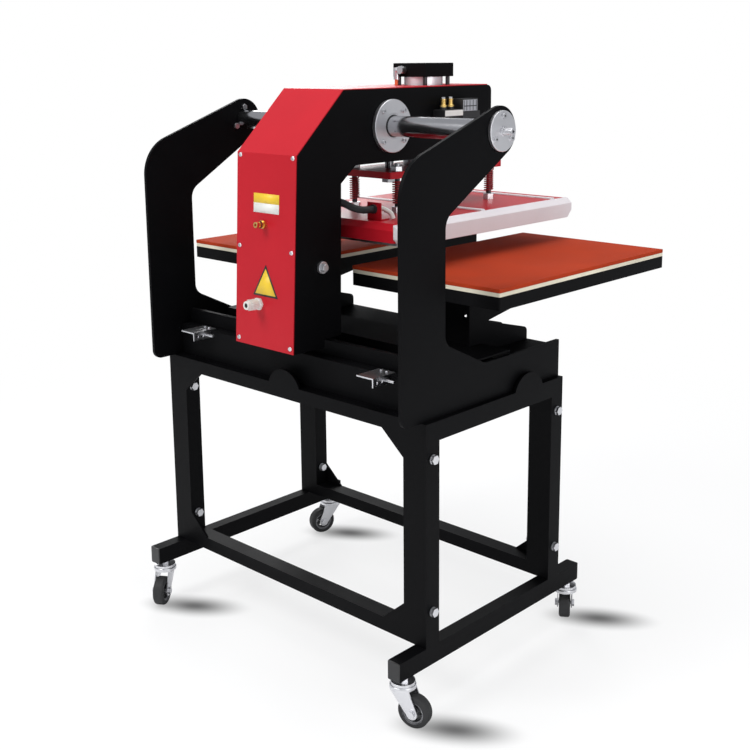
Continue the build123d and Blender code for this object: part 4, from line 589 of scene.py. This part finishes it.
stud = {"start": endFace + 0.005, "end": 0.428, "radius": 0.0068, "pitch": 0.0014}
for sign, name in ((-1, "studThreadLeft"), (1, "studThreadRight")):
    span = [(sign * reach, shaftPlace.y, shaftPlace.z) for reach in (stud["start"], stud["end"])]
    addThread(name, [span], (1, 0, 0), stud["radius"], stud["pitch"], "zinc", "stand")
postEnds = {"across": 0.067, "along": 0.165, "low": 1.0700, "high": 1.0748, "radius": 0.0058,
            "pitch": 0.0012}
postSpans = []
for i in (-1, 1):
    for j in (-1, 1):
        x, y = headX + i * postEnds["across"], cylinderY + j * postEnds["along"]
        postSpans.append(((x, y, postEnds["low"]), (x, y, postEnds["high"])))
addThread("postThreads", postSpans, (0, 0, 1), postEnds["radius"], postEnds["pitch"], "zinc", "platen")
grooves = {"radius": 0.0054, "pitch": 0.0016}
grooveSpans = [[(silencers["x"], standY + along, silencers[end]) for end in ("grooveLow", "grooveHigh")]
               for along in silencers["along"]]
addThread("silencerGrooves", grooveSpans, (0, 0, 1), grooves["radius"], grooves["pitch"], "brass", "head")
print("threads made")


# Conduit from the column to the platen gland, ribbed and sagging
def smoothPath(points, steps):
    path = []
    for i in range(len(points) - 1):
        before, here = points[max(i - 1, 0)], points[i]
        there, after = points[i + 1], points[min(i + 2, len(points) - 1)]
        for step in range(steps):
            t = step / steps
            path.append(0.5 * (2 * here + (there - before) * t
                               + (2 * before - 5 * here + 4 * there - after) * t * t
                               + (3 * here - before - 3 * there + after) * t ** 3))
    path.append(points[-1])
    return path


def makeTube(name, points, radius, finish, ribs, steps=16, sides=20):
    path = smoothPath(points, steps)
    mesh = bmesh.new()
    loops = []
    normal = Vector((0, 0, 1))
    for i, point in enumerate(path):
        way = (path[min(i + 1, len(path) - 1)] - path[max(i - 1, 0)]).normalized()
        normal = (normal - way * normal.dot(way)).normalized()
        other = way.cross(normal)
        size = radius - (ribs if i % 2 else 0.0)
        loops.append([mesh.verts.new(point + (normal * math.cos(a) + other * math.sin(a)) * size)
                      for a in (math.tau * k / sides for k in range(sides))])
    for near, far in zip(loops, loops[1:]):
        for k in range(sides):
            mesh.faces.new((near[k], near[(k + 1) % sides], far[(k + 1) % sides], far[k]))
    mesh.faces.new(list(reversed(loops[0])))
    mesh.faces.new(loops[-1])
    bmesh.ops.recalc_face_normals(mesh, faces=mesh.faces)
    data = bpy.data.meshes.new(name)
    mesh.to_mesh(data)
    mesh.free()
    data.polygons.foreach_set("use_smooth", [len(p.vertices) == 4 for p in data.polygons])
    thing = bpy.data.objects.new(name, data)
    scene.collection.objects.link(thing)
    data.materials.append(finishes[finish])
    return thing


cord = {
    "radius": 0.0082, "ribs": 0.0008,
    "points": ((-0.080, 0.146, 1.008), (-0.080, 0.134, 1.0078), (-0.083, 0.119, 1.0035),
               (-0.090, 0.107, 0.996), (-0.101, 0.096, 0.9905), (-0.1105, 0.085, 0.9885),
               (-0.1155, 0.075, 0.989), (-0.116, 0.0685, 0.989)),
    "bendStart": (-0.080, standY + 0.140, 1.005), "bendEnd": (-0.116, standY + 0.070, 0.989),
}
cordPoints = [Vector((x, standY + y, z)) for x, y, z in cord["points"]]
conduit = makeTube("conduit", cordPoints, cord["radius"], "loom", cord["ribs"])
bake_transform(conduit)
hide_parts("power_conduit")
print("conduit made")

# Springs between the posts' lower nuts and the press plate
springs = bpy.data.objects.new("springs", nodes["platen_springs"].data.copy())
scene.collection.objects.link(springs)
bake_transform(springs)
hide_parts("platen_springs")
print("springs made")

# Camera of the photograph
view = {"film": 36.0, "focal": 1132.87, "picture": 750, "shift": -90.0, "farthest": 60,
        "place": (-1.775636, 1.803196 + standY, 1.305415),
        "back": (-0.67634218, 0.70987747, 0.19655847), "right": (-0.72521937, -0.68845864, -0.00903128)}
camera = bpy.data.objects.new("camera", bpy.data.cameras.new("camera"))
scene.collection.objects.link(camera)
scene.camera = camera
camera.data.lens = view["film"] * view["focal"] / view["picture"]
camera.data.sensor_width = view["film"]
camera.data.shift_y = view["shift"] / view["picture"]
back = Vector(view["back"]).normalized()
right = Vector(view["right"])
right = (right - back * right.dot(back)).normalized()
turned = Matrix((right, back.cross(right), back)).transposed().to_4x4()
camera.matrix_world = Matrix.Translation(view["place"]) @ turned
camera.data.clip_end = view["farthest"]
camera.data.dof.use_dof = False

# Pale studio: pure white to the camera, a softer sky for the light
sky = {"tint": (0.86, 0.88, 0.92, 1), "strength": 0.55}
scene.view_settings.view_transform = "Standard"
scene.view_settings.look = "None"
world = bpy.data.worlds.new("studio")
scene.world = world
world.use_nodes = True
tree = world.node_tree
tree.nodes.clear()
output = tree.nodes.new("ShaderNodeOutputWorld")
lit = tree.nodes.new("ShaderNodeBackground")
lit.inputs["Color"].default_value = sky["tint"]
lit.inputs["Strength"].default_value = sky["strength"]
white = tree.nodes.new("ShaderNodeBackground")
white.inputs["Color"].default_value = (1, 1, 1, 1)
mix = tree.nodes.new("ShaderNodeMixShader")
path = tree.nodes.new("ShaderNodeLightPath")
tree.links.new(path.outputs["Is Camera Ray"], mix.inputs["Fac"])
tree.links.new(lit.outputs[0], mix.inputs[1])
tree.links.new(white.outputs[0], mix.inputs[2])
tree.links.new(mix.outputs[0], output.inputs["Surface"])

# Floor: white to the camera, more so far away, with a soft shadow trailing from each wheel
ground = {"size": 60, "rough": 0.9, "near": 0.8, "far": 2.6, "nearShare": 0.72}
trails = {"shift": (-0.068, -0.043), "turn": 213, "reach": (0.155, 0.066), "deepest": 0.16}
floorMesh = bmesh.new()
bmesh.ops.create_grid(floorMesh, x_segments=1, y_segments=1, size=ground["size"])
floorData = bpy.data.meshes.new("floor")
floorMesh.to_mesh(floorData)
floorMesh.free()
floor = bpy.data.objects.new("floor", floorData)
scene.collection.objects.link(floor)
floorFinish, tree, shader, coords = newMaterial("floorPaint")


def multiply(first, second):
    both = tree.nodes.new("ShaderNodeMath")
    both.operation = "MULTIPLY"
    tree.links.new(first, both.inputs[0])
    tree.links.new(second, both.inputs[1])
    return both.outputs[0]


def fadeOut(source, near, far, low):
    reach = tree.nodes.new("ShaderNodeVectorMath")
    reach.operation = "LENGTH"
    tree.links.new(source, reach.inputs[0])
    fade = tree.nodes.new("ShaderNodeMapRange")
    fade.interpolation_type = "SMOOTHSTEP"
    fade.inputs["From Min"].default_value = near
    fade.inputs["From Max"].default_value = far
    fade.inputs["To Min"].default_value = low
    fade.inputs["To Max"].default_value = 1.0
    tree.links.new(reach.outputs["Value"], fade.inputs["Value"])
    return fade.outputs["Result"]


def addTrail(corner):
    centre = sum(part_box("caster_wheel_" + corner), Vector()) / 2
    mapping = tree.nodes.new("ShaderNodeMapping")
    mapping.vector_type = "TEXTURE"
    shiftX, shiftY = trails["shift"]
    mapping.inputs["Location"].default_value = (centre.x + shiftX, centre.y + shiftY, 0)
    mapping.inputs["Rotation"].default_value = (0, 0, math.radians(trails["turn"]))
    mapping.inputs["Scale"].default_value = (*trails["reach"], 1)
    tree.links.new(coords, mapping.inputs["Vector"])
    return fadeOut(mapping.outputs["Vector"], 0.0, 1.0, trails["deepest"])


tone = addTrail("rear_left")
for corner in ("rear_right", "front_left", "front_right"):
    tone = multiply(tone, addTrail(corner))
glow = tree.nodes.new("ShaderNodeEmission")
glow.inputs["Strength"].default_value = 1.0
shader.inputs["Roughness"].default_value = ground["rough"]
tree.links.new(tone, shader.inputs["Base Color"])
tree.links.new(tone, glow.inputs["Color"])
mix = tree.nodes.new("ShaderNodeMixShader")
path = tree.nodes.new("ShaderNodeLightPath")
farShare = fadeOut(coords, ground["near"], ground["far"], ground["nearShare"])
tree.links.new(multiply(path.outputs["Is Camera Ray"], farShare), mix.inputs["Fac"])
tree.links.new(shader.outputs[0], mix.inputs[1])
tree.links.new(glow.outputs[0], mix.inputs[2])
tree.links.new(mix.outputs[0], tree.nodes["Material Output"].inputs["Surface"])
floorData.materials.append(floorFinish)

# Soft lights, all aimed at the middle of the press
target = Vector((0, 0.1, 0.8))
lights = {
    "keyLight": {"place": (0.9, 2.6, 3.2), "power": 62, "size": 1.6},
    "fillLight": {"place": (-3.4, 0.6, 1.6), "power": 34, "size": 2.2},
    "topLight": {"place": (-0.2, -0.2, 3.6), "power": 46, "size": 2.4},
    "rimLight": {"place": (2.6, -1.8, 2.2), "power": 30, "size": 1.6},
}
for name, look in lights.items():
    light = bpy.data.objects.new(name, bpy.data.lights.new(name, "AREA"))
    light.data.shape = "DISK"
    light.data.size = look["size"]
    light.data.energy = look["power"]
    light.location = look["place"]
    light.rotation_mode = "QUATERNION"
    light.rotation_quaternion = (target - Vector(look["place"])).to_track_quat("-Z", "Y")
    scene.collection.objects.link(light)
print("studio lit")
